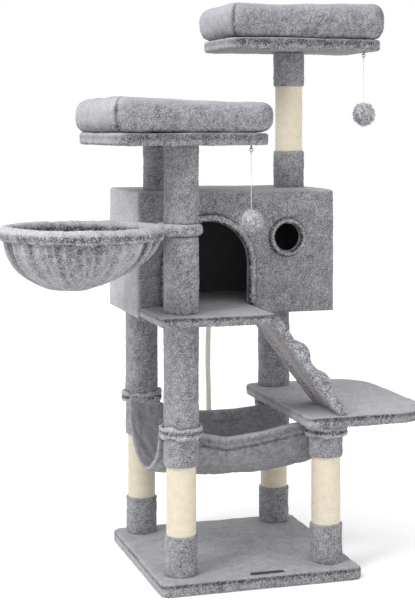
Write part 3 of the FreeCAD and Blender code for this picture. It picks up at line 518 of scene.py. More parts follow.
# %% Fibre group
fibre, fibre_in, fibre_out = new_group(
    "Fibre",
    [("Place", "Vector", None), ("Stretch", "Vector", (1, 1, 1)),
     ("Dark", "Color", (0.3, 0.25, 0.18, 1)), ("Light", "Color", (0.8, 0.75, 0.6, 1)),
     ("Contrast", "Float", 1.5)],
    [("Color", "Color"), ("Height", "Float")])
drawn = add(fibre, "VectorMath", [(0, fibre_in.outputs["Place"]),
                                  (1, fibre_in.outputs["Stretch"])], operation="MULTIPLY").outputs[0]
strands = noise(fibre, drawn, 1.0, 4.0, 0.65)
shades = noise(fibre, fibre_in.outputs["Place"], 60.0, 2.0, 0.5)
both = math_node(fibre, "ADD", math_node(fibre, "MULTIPLY", strands, 0.75),
                 math_node(fibre, "MULTIPLY", shades, 0.25))
both = math_node(fibre, "MULTIPLY", math_node(fibre, "SUBTRACT", both, 0.5),
                 fibre_in.outputs["Contrast"])
both = math_node(fibre, "ADD", both, 0.5, clamp=True)
colour = add(fibre, "Mix", [(0, both), (6, fibre_in.outputs["Dark"]),
                            (7, fibre_in.outputs["Light"])], data_type="RGBA").outputs[2]
fibre.links.new(colour, fibre_out.inputs["Color"])
fibre.links.new(both, fibre_out.inputs["Height"])
print("Fibre group:", len(fibre.nodes), "nodes")

# %% [markdown]
# ## Finishes
# Each finish is a material with one Principled shader. Cloths get sheen, which brightens a fabric
# where it turns away, and a bump from the same mask that colours them, so that tips stand proud.

# %% Material builder
def finish_of(name, roughness, sheen=0.0, sheen_roughness=0.5, metallic=0.0, specular=0.5):
    """A material, its tree and its Principled shader with the constants set on its own sockets."""
    material = bpy.data.materials.new(name)
    material.use_nodes = True
    tree = material.node_tree
    shader = tree.nodes["Principled BSDF"]
    for title, value in (("Roughness", roughness), ("Sheen Weight", sheen),
                         ("Sheen Roughness", sheen_roughness), ("Metallic", metallic),
                         ("Specular IOR Level", specular)):
        shader.inputs[title].default_value = value
    return material, tree, shader


def dress(tree, shader, group, inputs, bump, distance, rough_span=None):
    """Feed a shader from a group: its colour, its bump, and a roughness that follows its height."""
    node = tree.nodes.new("ShaderNodeGroup")
    node.node_tree = group
    for title, value in inputs.items():
        if isinstance(value, bpy.types.NodeSocket):
            tree.links.new(value, node.inputs[title])
        else:
            node.inputs[title].default_value = value
    tree.links.new(node.outputs["Color"], shader.inputs["Base Color"])
    raised = add(tree, "Bump", [("Strength", bump), ("Distance", distance),
                                ("Height", node.outputs["Height"])])
    tree.links.new(raised.outputs[0], shader.inputs["Normal"])
    if rough_span:
        spread = add(tree, "MapRange", [(0, node.outputs["Height"]), (3, rough_span[0]),
                                        (4, rough_span[1])]).outputs[0]
        tree.links.new(spread, shader.inputs["Roughness"])
    return node


def own_place(tree):
    """The Object coordinates of the piece itself."""
    return add(tree, "TexCoord").outputs["Object"]


def grey(value, tint=1.07):
    """A slightly cool grey."""
    return (value, value, value * tint, 1)


def plush(name, root, tip, specks=2.4, level=0.45, sheen=0.12):
    """A heather plush whose pile and lay come from the piece's own attributes: the pile with painted
    shade in folds and grooves, the lay with painted light on faces turned towards the key lamp.
    """
    material, tree, shader = finish_of(name, 0.95, sheen, 0.55, specular=0.2)
    pile_and_shading = add(tree, "Attribute", attribute_name="pile_and_shading").outputs["Fac"]
    lay_and_light = add(tree, "Attribute", attribute_name="lay_and_light").outputs["Fac"]
    dress(tree, shader, heather,
          {"Place": own_place(tree), "Pile_and_shading": pile_and_shading, "Lay_and_light": lay_and_light, "Root": grey(root),
           "Tip": grey(tip), "Specks": specks, "Level": level}, 0.6, 0.0016, (1.0, 0.85))
    return material


PLUSH = plush("plush", 0.035, 0.46)
BED_PLUSH = plush("bed plush", 0.045, 0.44, specks=2.2, level=0.45)
HAMMOCK_PLUSH = plush("hammock plush", 0.07, 0.42, specks=1.2, level=0.48)
TRIM_PLUSH = plush("trim plush", 0.025, 0.52, specks=3.0, level=0.46)
POMPOM = plush("pompom", 0.05, 0.60, specks=2.2, level=0.56)


def fibres(name, dark, light, stretch, roughness=0.85, contrast=1.6, bump=0.5, distance=0.001,
           by_uv=False, **constants):
    """A finish of fine streaks, along the cloth's own map or the object's axes."""
    material, tree, shader = finish_of(name, roughness, **constants)
    where = add(tree, "UVMap", uv_map="Cloth").outputs[0] if by_uv else own_place(tree)
    dress(tree, shader, fibre, {"Place": where, "Stretch": stretch, "Dark": (*dark, 1),
                                "Light": (*light, 1), "Contrast": contrast}, bump, distance,
          (roughness, roughness * 0.8))
    return material


SISAL = fibres("sisal", (0.46, 0.40, 0.30), (0.78, 0.72, 0.59), (90, 1500, 1), by_uv=True,
               contrast=1.5, bump=0.3)
ROPE = fibres("rope fibre", (0.70, 0.64, 0.55), (0.95, 0.92, 0.85), (1400, 120, 1), by_uv=True,
              sheen=0.1)
STRING = fibres("string", (0.45, 0.44, 0.42), (0.85, 0.84, 0.80), (3000, 600, 1), by_uv=True)
BOARD = fibres("raw board", (0.36, 0.26, 0.17), (0.70, 0.57, 0.42), (240, 240, 900), contrast=2.2)
CARD = fibres("card", (0.36, 0.27, 0.18), (0.55, 0.43, 0.30), (60, 60, 500))
# The boards seen inside the cabin get a dark grey, far darker than the plush outside.
DARK_INSIDE = fibres("dark cabin inside", (0.05, 0.05, 0.055), (0.12, 0.12, 0.13), (700, 700, 700),
              contrast=2.0, sheen=0.15)
STEEL = fibres("dark steel", (0.10, 0.10, 0.11), (0.20, 0.20, 0.21), (300, 300, 40), 0.4,
               bump=0.05, metallic=1.0)
PLUG = fibres("plug plastic", (0.02, 0.02, 0.02), (0.05, 0.05, 0.05), (500, 500, 500), 0.5)
TAG = fibres("woven tag", (0.012, 0.012, 0.014), (0.06, 0.06, 0.065), (2600, 700, 900), 0.8,
             contrast=2.5)
FLOOR = fibres("studio white", (0.95, 0.95, 0.95), (0.98, 0.98, 0.98), (8, 8, 8), 0.9, bump=0.0)
STRIP = fibres("ramp underside", (0.24, 0.20, 0.21), (0.42, 0.37, 0.38), (90, 500, 90), 0.8)
glow = FLOOR.node_tree.nodes["Principled BSDF"]
glow.inputs["Emission Color"].default_value = (1, 1, 1, 1)
glow.inputs["Emission Strength"].default_value = 0.12
floor.data.materials.append(FLOOR)
print("finishes:", len(bpy.data.materials))


# %% Give a piece its body, its finish and its place in the frame
def fit_out(piece, body, material, slot, *stands_for):
    """Ride a body, take a finish, and stand for CAD nodes."""
    piece.data.materials.append(material)
    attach(piece, body)
    if stands_for:
        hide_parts(*stands_for)
    return piece


rope.data.materials.append(ROPE)
for string, path in strings.values():
    string.data.materials.append(STRING)

# %% [markdown]
# ## Base, lower platform and ledge
# Each board is wrapped in plush that is glued over its rounded edges. One profile carried round
# the board's outline makes the underside, the edge and the top in one skin. On the lower platform
# a shallow line along the edge is where the cloth's two halves meet. Round each board's side runs
# a dark line of painted shade, just under its top edge, and on the perches under the bed's roll.

# %% Covered boards
# Each board's side gets a dark line of painted shade just under its rounded top edge.
base = wrapped_board("base_plush", rectangle(-0.25, -0.25, 0.25, 0.25), [0.022] * 4, 0.0, 0.030,
                     0.007, (0, 0))
fit_out(fluff(base, seed=3, combed=0.75, crease=edge_shade_line(0.0245)), "frame", PLUSH, "plush",
        "base_cover")

platform = wrapped_board("lower_platform_plush", rectangle(0.113, -0.245, 0.453, 0.250),
                         [0.030, 0.110, 0.110, 0.030], 0.366, 0.393, 0.007, (0.28, 0.0),
                         seam=0.372)
fit_out(fluff(platform, seed=9, crease=edge_shade_line(0.388)), "frame", PLUSH, "plush",
        "lower_platform_cover")

FLOOR_CORNERS = [(-0.252, -0.255), (0.030, -0.255), (0.030, -0.041), (0.252, -0.041),
                 (0.252, 0.250), (-0.252, 0.250)]
ledge = wrapped_board("ledge_plush", FLOOR_CORNERS, [0.018, 0.018, 0.001, 0.011, 0.011, 0.011],
                      0.621, 0.645, 0.007, (-0.1, 0.0))
fit_out(fluff(ledge, seed=15, combed=0.8, crease=edge_shade_line(0.640)), "frame", PLUSH, "plush",
        "cabin_floor_cover")

BIG_BOARD = rectangle(-0.373, -0.285, 0.007, 0.115)
HIGH_BOARD = rectangle(-0.022, -0.062, 0.388, 0.198)
# On the perches the dark line is wider and lies under the bed's roll: painted shade under its overhang.
big_board = wrapped_board("big_perch_plush", BIG_BOARD, [0.036] * 4, 1.042, 1.071, 0.007,
                          (-0.183, -0.085))
fit_out(fluff(big_board, seed=21, crease=edge_shade_line(1.062, 0.009, 0.45)), "frame", PLUSH, "plush",
        "big_perch_cover")
high_board = wrapped_board("high_perch_plush", HIGH_BOARD, [0.036] * 4, 1.279, 1.308, 0.007,
                           (0.183, 0.068))
fit_out(fluff(high_board, seed=27, crease=edge_shade_line(1.299, 0.009, 0.45)), "frame", PLUSH, "plush",
        "high_perch_cover")
print("boards covered; base has", len(base.data.polygons), "faces")

# %% [markdown]
# ## Posts
# A post is a card tube with a plush sleeve, sewn up the back, or with sisal rope wound round it.
# A sleeve is a closed profile turned round the post. Its seam is a narrow groove at the back.
# The sisal's profile rises and falls once for each turn of rope, and its place climbs by one turn
# as it goes round, so that the winding is a true spiral.

# %% Sleeves
FRONT_LEFT, BACK_LEFT = (-0.183, -0.174), (-0.183, 0.201)
BACK_RIGHT, FRONT_RIGHT = (0.183, 0.201), (0.183, -0.174)
LEFT_UPPER, COLUMN = (-0.183, 0.020), (0.183, 0.085)
TUBE = 0.0302


def sleeve_grid(spot, radius, low, high, rounding=0.004, step=0.0042):
    """A closed ring-shaped wall: radius outside, the tube's radius inside, rounded at both ends.

    At the back, radius - 1.6 mm x exp(-(distance from the seam / 2 mm)^2) makes the seam.
    """
    bend = np.linspace(0, math.pi / 2, 4)
    height = high - low
    rows = [(radius - rounding * (1 - math.sin(a)), low + rounding * (1 - math.cos(a)))
            for a in bend]
    rows += [(radius, z) for z in np.linspace(low + rounding, high - rounding,
                                              max(3, round(height / step)))[1:-1]]
    rows += [(radius - rounding * (1 - math.cos(a)), high - rounding * (1 - math.sin(a)))
             for a in bend]
    rows += [(TUBE, high), (TUBE, low)]
    out, level = (np.array(part)[:, None] for part in zip(*rows))
    columns = round(2 * math.pi * radius / step)
    angle = np.linspace(0, 2 * math.pi, columns, endpoint=False)[None]
    from_seam = (angle - math.pi / 2) * radius
    out = out - 0.0016 * np.exp(-(from_seam / 0.002) ** 2) * (out > radius - rounding)
    return points_of(spot[0] + out * np.cos(angle), spot[1] + out * np.sin(angle), level)


def sleeves(name, node, radius, stretches, seed):
    """All the sleeves of one CAD node as one piece."""
    piece = shell(name, [sleeve_grid(spot, radius, low, high) for spot, low, high in stretches])
    return fit_out(fluff(piece, 0.0016, 0.0010, seed, combed=0.35), "frame", PLUSH, "plush", node)


SLEEVE, POST = 0.0395, 0.0415
POSTS = (FRONT_LEFT, BACK_LEFT, BACK_RIGHT, FRONT_RIGHT)
sleeves("foot_sleeve_plush", "foot_sleeves", SLEEVE, [(spot, 0.030, 0.124) for spot in POSTS], 31)
sleeves("left_post_plush", "left_posts_plush", POST,
        [(spot, 0.287, 0.621) for spot in (FRONT_LEFT, BACK_LEFT)], 33)
sleeves("right_post_plush", "right_posts_plush", POST,
        [(spot, 0.287, 0.366) for spot in (FRONT_RIGHT, BACK_RIGHT)], 35)
sleeves("basket_post_sleeve", "basket_post_plush", POST,
        [(FRONT_LEFT, 0.645, 0.8277), (FRONT_LEFT, 0.8573, 1.042)], 37)
sleeves("back_right_sleeve", "back_right_upper_plush", POST, [(BACK_RIGHT, 0.393, 0.621)], 39)
sleeves("left_upper_sleeve", "left_upper_plush", POST, [(LEFT_UPPER, 0.927, 1.042)], 41)
sleeves("column_sleeve", "column_sleeves", SLEEVE, [(COLUMN, 0.927, 1.023),
                                                    (COLUMN, 1.190, 1.279)], 43)
print("sleeves made")


# %% Sisal windings
def sisal_grid(spot, low, high, turn=0.0048, radius=0.0354):
    """Rope wound round a tube: radius - 1.1 mm x (1 - |sin(pi x turns)|), turns = height / turn
    plus angle / 2 pi, between flat ends."""
    rows = round((high - low) / turn * 8)
    level = np.linspace(low, high, rows)[:, None]
    angle = np.linspace(0, 2 * math.pi, 72, endpoint=False)[None]
    turns = (level - low) / turn + angle / (2 * math.pi)
    spot_noise = cloud(points_of(angle, level * 40, 0 * turns), 0.6, 5)
    out = radius - 0.0011 * (1 - np.abs(np.sin(math.pi * turns)) ** 0.7) + 0.0003 * spot_noise
    out = np.concatenate([out, np.full((2, 72), TUBE)])
    level = np.concatenate([level, [[high], [low]]])
    return points_of(spot[0] + out * np.cos(angle), spot[1] + out * np.sin(angle), level)


sisal = shell("sisal_rope", [sisal_grid(spot, 0.124, 0.287) for spot in POSTS]
              + [sisal_grid(COLUMN, 1.023, 1.190)])
fit_out(sisal, "frame", SISAL, "sisal", "sisal_windings")
print("sisal faces:", len(sisal.data.polygons))

# %% [markdown]
# ## Cabin
# The cabin is a box of thin boards in one plush cover, with an arched door and a round window.
# Its cover is a strip round the walls with a rounded top. The two openings are left out of the
# strip, and their rough edges lie under the rolls that bind them.

# %% Cabin cover
DOOR = (-0.076, 0.747, 0.104)
WINDOW = (0.131, 0.809, 0.035)
FRONT_FACE = -0.046


def in_doorway(x, z, radius):
    """True inside the arch: a half circle over straight sides."""
    across = np.abs(x - DOOR[0])
    return np.where(z > DOOR[1], np.hypot(across, z - DOOR[1]) < radius, across < radius)


def cabin_grid():
    """Profile of (inset, level): up the wall, round the top edge, over the roof to its middle."""
    bend = np.linspace(0, math.pi / 2, 6)
    wall = np.append(np.arange(0.621, 0.915, 0.0045), 0.919)
    rows = [(0, z, 1) for z in wall]
    rows += [(0.008 * (1 - math.cos(a)), 0.919 + 0.008 * math.sin(a), 1) for a in bend[1:]]
    rows += [(0.008, 0.927 + 0.002 * (1 - q ** 4), q) for q in np.linspace(1, 0, 50)[1:]]
    inset, level, share = (np.array(part)[:, None] for part in zip(*rows))
    flat = outline(rectangle(-0.257, FRONT_FACE, 0.257, 0.255), [0.009] * 4, inset, 0.0045)
    centre = np.array((0.0, 0.1045))
    flat = centre + (flat - centre) * share[..., None]
    return np.concatenate([flat, np.broadcast_to(level[..., None], flat.shape[:2] + (1,))], axis=2)


cabin = shell("cabin_plush", [cabin_grid()], along=False)
work = bmesh.new()
work.from_mesh(cabin.data)
middles = np.array([face.calc_center_median() for face in work.faces])
front = middles[:, 1] < FRONT_FACE + 0.003
holes = front & (in_doorway(middles[:, 0], middles[:, 2], DOOR[2] + 0.010)
                 | (np.hypot(middles[:, 0] - WINDOW[0], middles[:, 2] - WINDOW[1])
                    < WINDOW[2] + 0.007))
faces = list(work.faces)
bmesh.ops.delete(work, geom=[faces[k] for k in np.flatnonzero(holes)], context="FACES")
work.to_mesh(cabin.data)
work.free()
fluff(cabin, 0.0013, 0.0012, 51)
wall = cabin.modifiers.new("cloth thickness", "SOLIDIFY")
wall.thickness = 0.0035
wall.offset = -1
fit_out(cabin, "frame", PLUSH, "plush", "cabin_cover")
print("cabin cover faces:", len(cabin.data.polygons))


# %% [markdown]
# ## Door and window rolls
# A stuffed plush roll binds each opening, and the same cloth lines the wall's thickness behind it.
# A roll is a round section carried along the opening's edge: an arch for the door, a circle for
# the window. The section is a little uneven, as hand-stitched rolls are.

# %% Rolls
def section(width, depth, columns=22):
    """A rounded section, |x / width|^2.4 + |y / depth|^2.4 = 1, as two arrays from 0 to 2 pi."""
    angle = np.linspace(0, 2 * math.pi, columns, endpoint=False)
    x, y = np.cos(angle), np.sin(angle)
    return (width * np.sign(x) * np.abs(x) ** (2 / 2.4), depth * np.sign(y) * np.abs(y) ** (2 / 2.4))


def roll_on(path, outward, width, depth, uneven, seed, closed):
    """A roll on a line in the front wall: outward is the direction away from the opening."""
    x, y = section(width, depth)
    lump = 1 + uneven * cloud(path * 1.0, 0.03, seed)[:, None, None]
    grid = path[:, None] + lump * (x[None, :, None] * outward[:, None]
                                   + y[None, :, None] * np.array((0.0, -1.0, 0.0)))
    if not closed:
        ends = np.repeat(path[[0, -1], None], grid.shape[1], axis=1)
        grid = np.concatenate([ends[:1], grid, ends[1:]])
    return grid


def arch_line(radius, y, step=0.0035):
    """Up the left jamb, round the half circle and down the right one, with outward directions."""
    rise = np.arange(0.648, DOOR[1], step)
    bend = np.linspace(math.pi, 0, round(math.pi * radius / step))
    x = np.concatenate([np.full(len(rise), -1.0), np.cos(bend), np.full(len(rise), 1.0)])
    z = np.concatenate([np.zeros(len(rise)), np.sin(bend), np.zeros(len(rise))])
    level = np.concatenate([rise, np.full(len(bend), DOOR[1]), rise[::-1]])
    path = np.stack([DOOR[0] + radius * x, np.full(len(x), y), level + radius * z], axis=1)
    return path, np.stack([x, 0 * x, z], axis=1)


def ring_line(radius, y, step=0.0035):
    """A circle round the window, with outward directions."""
    angle = np.linspace(0, 2 * math.pi, round(2 * math.pi * radius / step), endpoint=False)
    out = np.stack([np.cos(angle), 0 * angle, np.sin(angle)], axis=1)
    return np.array((WINDOW[0], y, WINDOW[1])) + radius * out, out


def roll_groove_shade(points, out):
    """Painted shade along both edges of each roll, in the grooves where it meets the wall and the lining;
    the rest of the roll is lightened a little.
    """
    across = np.where(points[:, 2] > DOOR[1], np.hypot(points[:, 0] - DOOR[0], points[:, 2] - DOOR[1]),
                      np.abs(points[:, 0] - DOOR[0])) - DOOR[2] - 0.010
    ring = np.hypot(points[:, 0] - WINDOW[0], points[:, 2] - WINDOW[1]) - WINDOW[2] - 0.007
    at_door = np.abs(across) < 0.014
    edge = np.where(at_door, np.abs(across) - 0.0088, np.abs(ring) - 0.0062)
    return 0.75 * np.exp(-(edge / 0.0028) ** 2) - 0.1


path, out = arch_line(DOOR[2] + 0.010, FRONT_FACE - 0.001)
door_roll = shell("door_roll", [roll_on(path, out, 0.0100, 0.0085, 0.06, 61, False)], along=False)
fit_out(fluff(door_roll, 0.0018, 0.0008, 61, combed=0.3, crease=roll_groove_shade), "frame", TRIM_PLUSH,
        "plush", "door_trim")
path, out = arch_line(DOOR[2] + 0.0025, FRONT_FACE + 0.009)
door_lining = shell("door_lining", [roll_on(path, out, 0.0025, 0.0085, 0.0, 62, False)],
                    along=False)
fit_out(fluff(door_lining, 0.0006, 0.0003, 62), "frame", TRIM_PLUSH, "plush")
path, out = ring_line(WINDOW[2] + 0.007, FRONT_FACE - 0.001)
window_roll = shell("window_roll", [roll_on(path, out, 0.0072, 0.0080, 0.10, 63, True)])
fit_out(fluff(window_roll, 0.0018, 0.0008, 63, combed=0.3, crease=roll_groove_shade), "frame",
        TRIM_PLUSH, "plush", "window_trim")
path, out = ring_line(WINDOW[2] + 0.0025, FRONT_FACE + 0.009)
window_lining = shell("window_lining", [roll_on(path, out, 0.0025, 0.0085, 0.0, 64, True)])
fit_out(fluff(window_lining, 0.0006, 0.0003, 64), "frame", TRIM_PLUSH, "plush")
print("rolls made")

# %% [markdown]
# ## Beds
# A bed is a fat stuffed roll that runs round the perch's board, with a flatter pad in its middle.
# The roll's section is a squarish oval carried round the board's outline. It swells and sinks
# slowly on its way, as loose filling does, and is drawn in at a seam in each corner.

# %% Bolsters and pads
OVERHANG, ROLL_WIDTH = 0.010, 0.072


def bolster_grid(board, level, height, seams, tilt, seed):
    """A roll round a board: inset = half width x (1 - c), level = middle + half height x s.

    c and s follow the section's oval. Half width and height swell by a slow cloud of up to 5 %,
    and shrink by 9 % in a gap 9 mm wide at each seam.
    """
    low, high = np.array(board).min(axis=0) - OVERHANG, np.array(board).max(axis=0) + OVERHANG
    corners = rectangle(*low, *high)
    radii = [0.040] * 4
    line = outline(corners, radii, ROLL_WIDTH / 2, 0.005)
    run = np.zeros(len(line))
    for x, y in seams:
        run = run + np.exp(-(np.hypot(line[:, 0] - x, line[:, 1] - y) / 0.009) ** 2)
    spot = np.concatenate([line, np.zeros((len(line), 1))], axis=1)
    swell = 1 + 0.05 * cloud(spot, 0.11, seed) + 0.02 * cloud(spot, 0.04, seed + 1) - 0.09 * run
    rise = tilt * (line[:, 0] - line[:, 0].mean()) / np.ptp(line[:, 0]) * 2
    x, y = section(ROLL_WIDTH / 2, height / 2, 48)
    x, y = x[:, None], y[:, None]
    half = ROLL_WIDTH / 2
    inset = half - x * swell[None] - 0.004 * (y > 0) * np.abs(y) / height
    flat = outline(corners, radii, np.maximum(inset, -0.004), 0.005)
    z = level + height / 2 + y * np.where(y > 0, swell + rise[None] / height * 2, 1.0)
    return np.concatenate([flat, z[..., None]], axis=2)


def pad_grid(board, level, height, crown):
    """A pad inside the roll: flat sides, and a top that rises by crown x (1 - q^2) to its middle."""
    low, high = np.array(board).min(axis=0) + 0.060, np.array(board).max(axis=0) - 0.060
    rows = [(0, level, q) for q in (0, 0.4, 0.8)] + [(0, level + t * height, 1) for t in (0, 0.5, 0.9)]
    rows += [(0.003, level + height + crown * (1 - q ** 2), q) for q in np.linspace(1, 0, 26)]
    inset, z, share = (np.array(part)[:, None] for part in zip(*rows))
    flat = outline(rectangle(*low, *high), [0.0275] * 4, inset, 0.005)
    centre = (low + high) / 2
    flat = centre + (flat - centre) * share[..., None]
    return np.concatenate([flat, np.broadcast_to(z[..., None], flat.shape[:2] + (1,))], axis=2)


def bed(name, body, board, level, height, seams, tilt, seed):
    """A bolster and its pad, each a padded piece on the bed's own body."""
    bolster = shell(name + "_roll", [bolster_grid(board, level, height, seams, tilt, seed)])

    middle = np.mean(seams, axis=0)

    def crease(points, out):
        """Painted shade along each corner's seam, which runs in from the corner at 45 degrees, and along
        the foot, where the roll sits on the board.
        """
        dark = 0.35 * np.exp(-((points[:, 2] - level) / 0.006) ** 2)
        for x, y in seams:
            from_x, from_y = points[:, 0] - x, points[:, 1] - y
            slant = np.sign((middle[0] - x) * (middle[1] - y))
            off = np.abs(from_y * slant - from_x) / math.sqrt(2)
            dark = dark + 0.65 * np.exp(-(off / 0.0035) ** 2) * (np.hypot(from_x, from_y) < 0.085)
        return dark

    fluff(bolster, 0.0019, 0.0018, seed, lean=0.6, combed=0.9, crease=crease)
    fit_out(bolster, body, BED_PLUSH, "bed_plush", name + "_bolster")
    pad = shell(name + "_cushion", [pad_grid(board, level, 0.024, 0.006)], along=False)
    fluff(pad, 0.0018, 0.0022, seed + 5)
    fit_out(pad, body, BED_PLUSH, "bed_plush", name + "_pad")
    print(name, "roll faces:", len(bolster.data.polygons))


bed("big_bed", "big_bed", BIG_BOARD, 1.0715, 0.0765,
    [(-0.368, -0.286), (0.006, -0.286), (-0.368, 0.116), (0.006, 0.116)], -0.005, 71)
bed("high_bed", "high_bed", HIGH_BOARD, 1.3085, 0.0890,
    [(-0.018, -0.063), (0.387, -0.063), (-0.018, 0.199), (0.387, 0.199)], 0.003, 81)

# %% [markdown]
# ## Basket
# The basket is a plush bag gathered on a wire hoop. A padded hem runs round the hoop, and its
# cloth is ruffled by the gathering. The bag hangs below as a bowl whose folds run down from the
# hem and fade towards the bottom. Both are one function of the angle round the hoop and the
# distance down; folds are made of clouds that depend mostly on the angle.

# %% Hem and bag
HOOP = np.array((-0.421, -0.174, 0.8425))
HOOP_RADIUS = 0.178
BAG_RADIUS, BAG_DEPTH, BAG_WALL = 0.176, 0.126, 0.005
BAG_TOP = 0.010         # how far the bag's edge lies below the hoop


def folds(angle, along, seed, count=52):
    """Gathers round the hoop: a sharp-crested cloud of the angle that drifts a little downwards."""
    spot = points_of(np.cos(angle) * count / 6.3, np.sin(angle) * count / 6.3, along * 1.6)
    return 1 - 2 * np.abs(cloud(spot, 1.0, seed))


def toward_sides(angle):
    """How strong the folds are: 1 at the hoop's two sides and 0.35 in front and behind."""
    return 0.35 + 0.65 * np.abs(np.cos(angle + 0.3)) ** 1.5


def hem_ruffle(angle):
    """The hem's ruffles: 60 gathers round the hoop, the same from top to bottom."""
    return folds(angle, 0.2 + 0 * angle, 91, 60)


def bag_fold(angle, run):
    """The bag's folds, which die away as cos(run)^0.45 from the rim down to the bottom."""
    return folds(angle, run * 0.3, 93) * np.maximum(np.cos(run), 0) ** 0.45


def round_hoop(points):
    """The angle round the hoop of each point, and its distance out from the hoop's axis."""
    return (np.arctan2(points[:, 1] - HOOP[1], points[:, 0] - HOOP[0]),
            np.hypot(points[:, 1] - HOOP[1], points[:, 0] - HOOP[0]))


def hem_grid():
    """A band round the hoop, 26 mm high: its outside stands out by 1.8 mm x folds, and its lower
    edge dips by 2.5 mm x folds."""
    angle = np.linspace(0, 2 * math.pi, 420, endpoint=False)[None]
    x, y = section(0.0120, 0.0150, 26)
    x, y = x[:, None], y[:, None]
    ruffle = hem_ruffle(angle)
    out = HOOP_RADIUS + x * (1 + 0.20 * ruffle)
    level = HOOP[2] - 0.001 + y * (1 + 0.26 * ruffle * (y < 0) + 0.10 * ruffle * (y > 0))
    return points_of(HOOP[0] + out * np.cos(angle), HOOP[1] + out * np.sin(angle), level)


def hem_shade_and_light(points, out):
    """Painted shade between the ruffles and on the underside; painted light on the rolled top edge and in
    a line along the lower edge.
    """
    angle, _ = round_hoop(points)
    dark = 0.2 + 0.5 * np.clip(0.5 - 0.5 * hem_ruffle(angle), 0, 1)
    low = np.clip((HOOP[2] + 0.005 - points[:, 2]) / 0.007, 0, 1)
    lip = np.exp(-((points[:, 2] - HOOP[2] + 0.0135) / 0.0022) ** 2)
    return dark * low - 0.25 * (1 - low) - 0.4 * lip


def bag_grid():
    """A bowl with a wall 5 mm thick: a squarish quarter oval outside, then the same back inside.

    radius = 176 mm x cos(t)^(1.2 + 0.4 cos(angle + 0.3)), so that the post's side is steeper, and
    level = rim - 126 mm x sin(t). Folds are 7 mm deep at the rim and die away as cos(t)^0.45.
    """
    t = np.linspace(0.03, math.pi / 2, 44)
    angle = np.linspace(0, 2 * math.pi, 360, endpoint=False)[None]
    power = 1.2 + 0.4 * np.cos(angle + 0.3)
    walls = []
    for inner, run in ((0.0, t), (BAG_WALL, t[::-1])):
        run = run[:, None]
        fold = bag_fold(angle, run) * toward_sides(angle)
        out = (BAG_RADIUS - inner) * np.maximum(np.cos(run), 0) ** power + 0.0068 * fold
        out = np.maximum(out, 0) * (run < math.pi / 2 - 1e-6)
        level = HOOP[2] - BAG_TOP - (BAG_DEPTH - inner) * np.sin(run) + 0.002 * fold
        level = level + 0.006 * np.cos(angle) * np.sin(run) * np.cos(run)
        walls.append(points_of(HOOP[0] + out * np.cos(angle), HOOP[1] + out * np.sin(angle), level))
    return np.concatenate(walls)


def bag_fold_shading(points, out):
    """Painted shade in the folds and painted light on their crests, most at the rim, and painted shade
    again just under the hem.
    """
    angle, _ = round_hoop(points)
    fall = np.clip((HOOP[2] - BAG_TOP - points[:, 2]) / BAG_DEPTH, 0, 1)
    run = np.arcsin(fall)
    fold = bag_fold(angle, run)
    valley = 0.95 * np.clip(-fold, 0, 1) - 0.7 * np.clip(fold - 0.35, 0, 1)
    valley = valley * toward_sides(angle) * np.maximum(np.cos(run), 0) ** 0.3
    return valley + 0.35 * np.exp(-fall / 0.07)


hem = shell("basket_ruffle", [hem_grid()])
fit_out(fluff(hem, 0.0020, 0.0012, 95, combed=0.6, crease=hem_shade_and_light), "basket", TRIM_PLUSH,
        "bed_plush", "basket_hem")
bag = shell("basket_bowl", [bag_grid()])
fit_out(fluff(bag, 0.0014, 0.0012, 97, combed=0.7, crease=bag_fold_shading), "basket", PLUSH,
        "bed_plush", "basket_bag")
TONGUE = [(-0.236, -0.218), (-0.131, -0.226), (-0.131, -0.122), (-0.236, -0.130)]
tongue = wrapped_board("basket_tongue_plush", TONGUE, [0.008, 0.050, 0.050, 0.008], 0.828, 0.857,
                       0.011, (-0.183, -0.174), step=0.004)
fit_out(fluff(tongue, 0.0018, 0.0012, 99), "basket", TRIM_PLUSH, "plush", "basket_tongue")
print("basket faces:", len(bag.data.polygons) + len(hem.data.polygons))

# %% [markdown]
# ## Hammock
# The hammock is one sheet of doubled plush slung between four posts. Along each post-to-post edge
# it has a folded hem, and each corner is drawn to a loop round its post. Across, the sheet is half
# a circle; along, its edges and its belly rise and fall. Creases run from the corners.

# %% Hammock sheet
HAMMOCK_Y, HAMMOCK_RADIUS, HAMMOCK_ENDS = 0.0135, 0.143, (-0.225, 0.190)
CLOTH = 0.005


def edge_levels(x):
    """Levels of the front and back edges and of the belly at x, through a few measured places."""
    front = np.interp(x, (-0.225, -0.173, -0.12, -0.055, 0.03, 0.118, 0.190),
                      (0.374, 0.367, 0.349, 0.334, 0.343, 0.359, 0.364))
    back = np.interp(x, (-0.225, -0.173, -0.10, -0.03, 0.06, 0.139, 0.190),
                     (0.390, 0.384, 0.356, 0.343, 0.344, 0.350, 0.356))
    belly = np.interp(x, (-0.225, -0.173, -0.08, 0.03, 0.12, 0.190),
                      (0.242, 0.230, 0.222, 0.219, 0.226, 0.238))
    return front, back, belly


def smooth(values, times):
    """The mean of each value and its neighbours, repeated: rounds off a broken line."""
    for _ in range(times):
        values = np.concatenate([values[:1], (values[:-2] + values[1:-1] + values[2:]) / 3,
                                 values[-1:]])
    return values


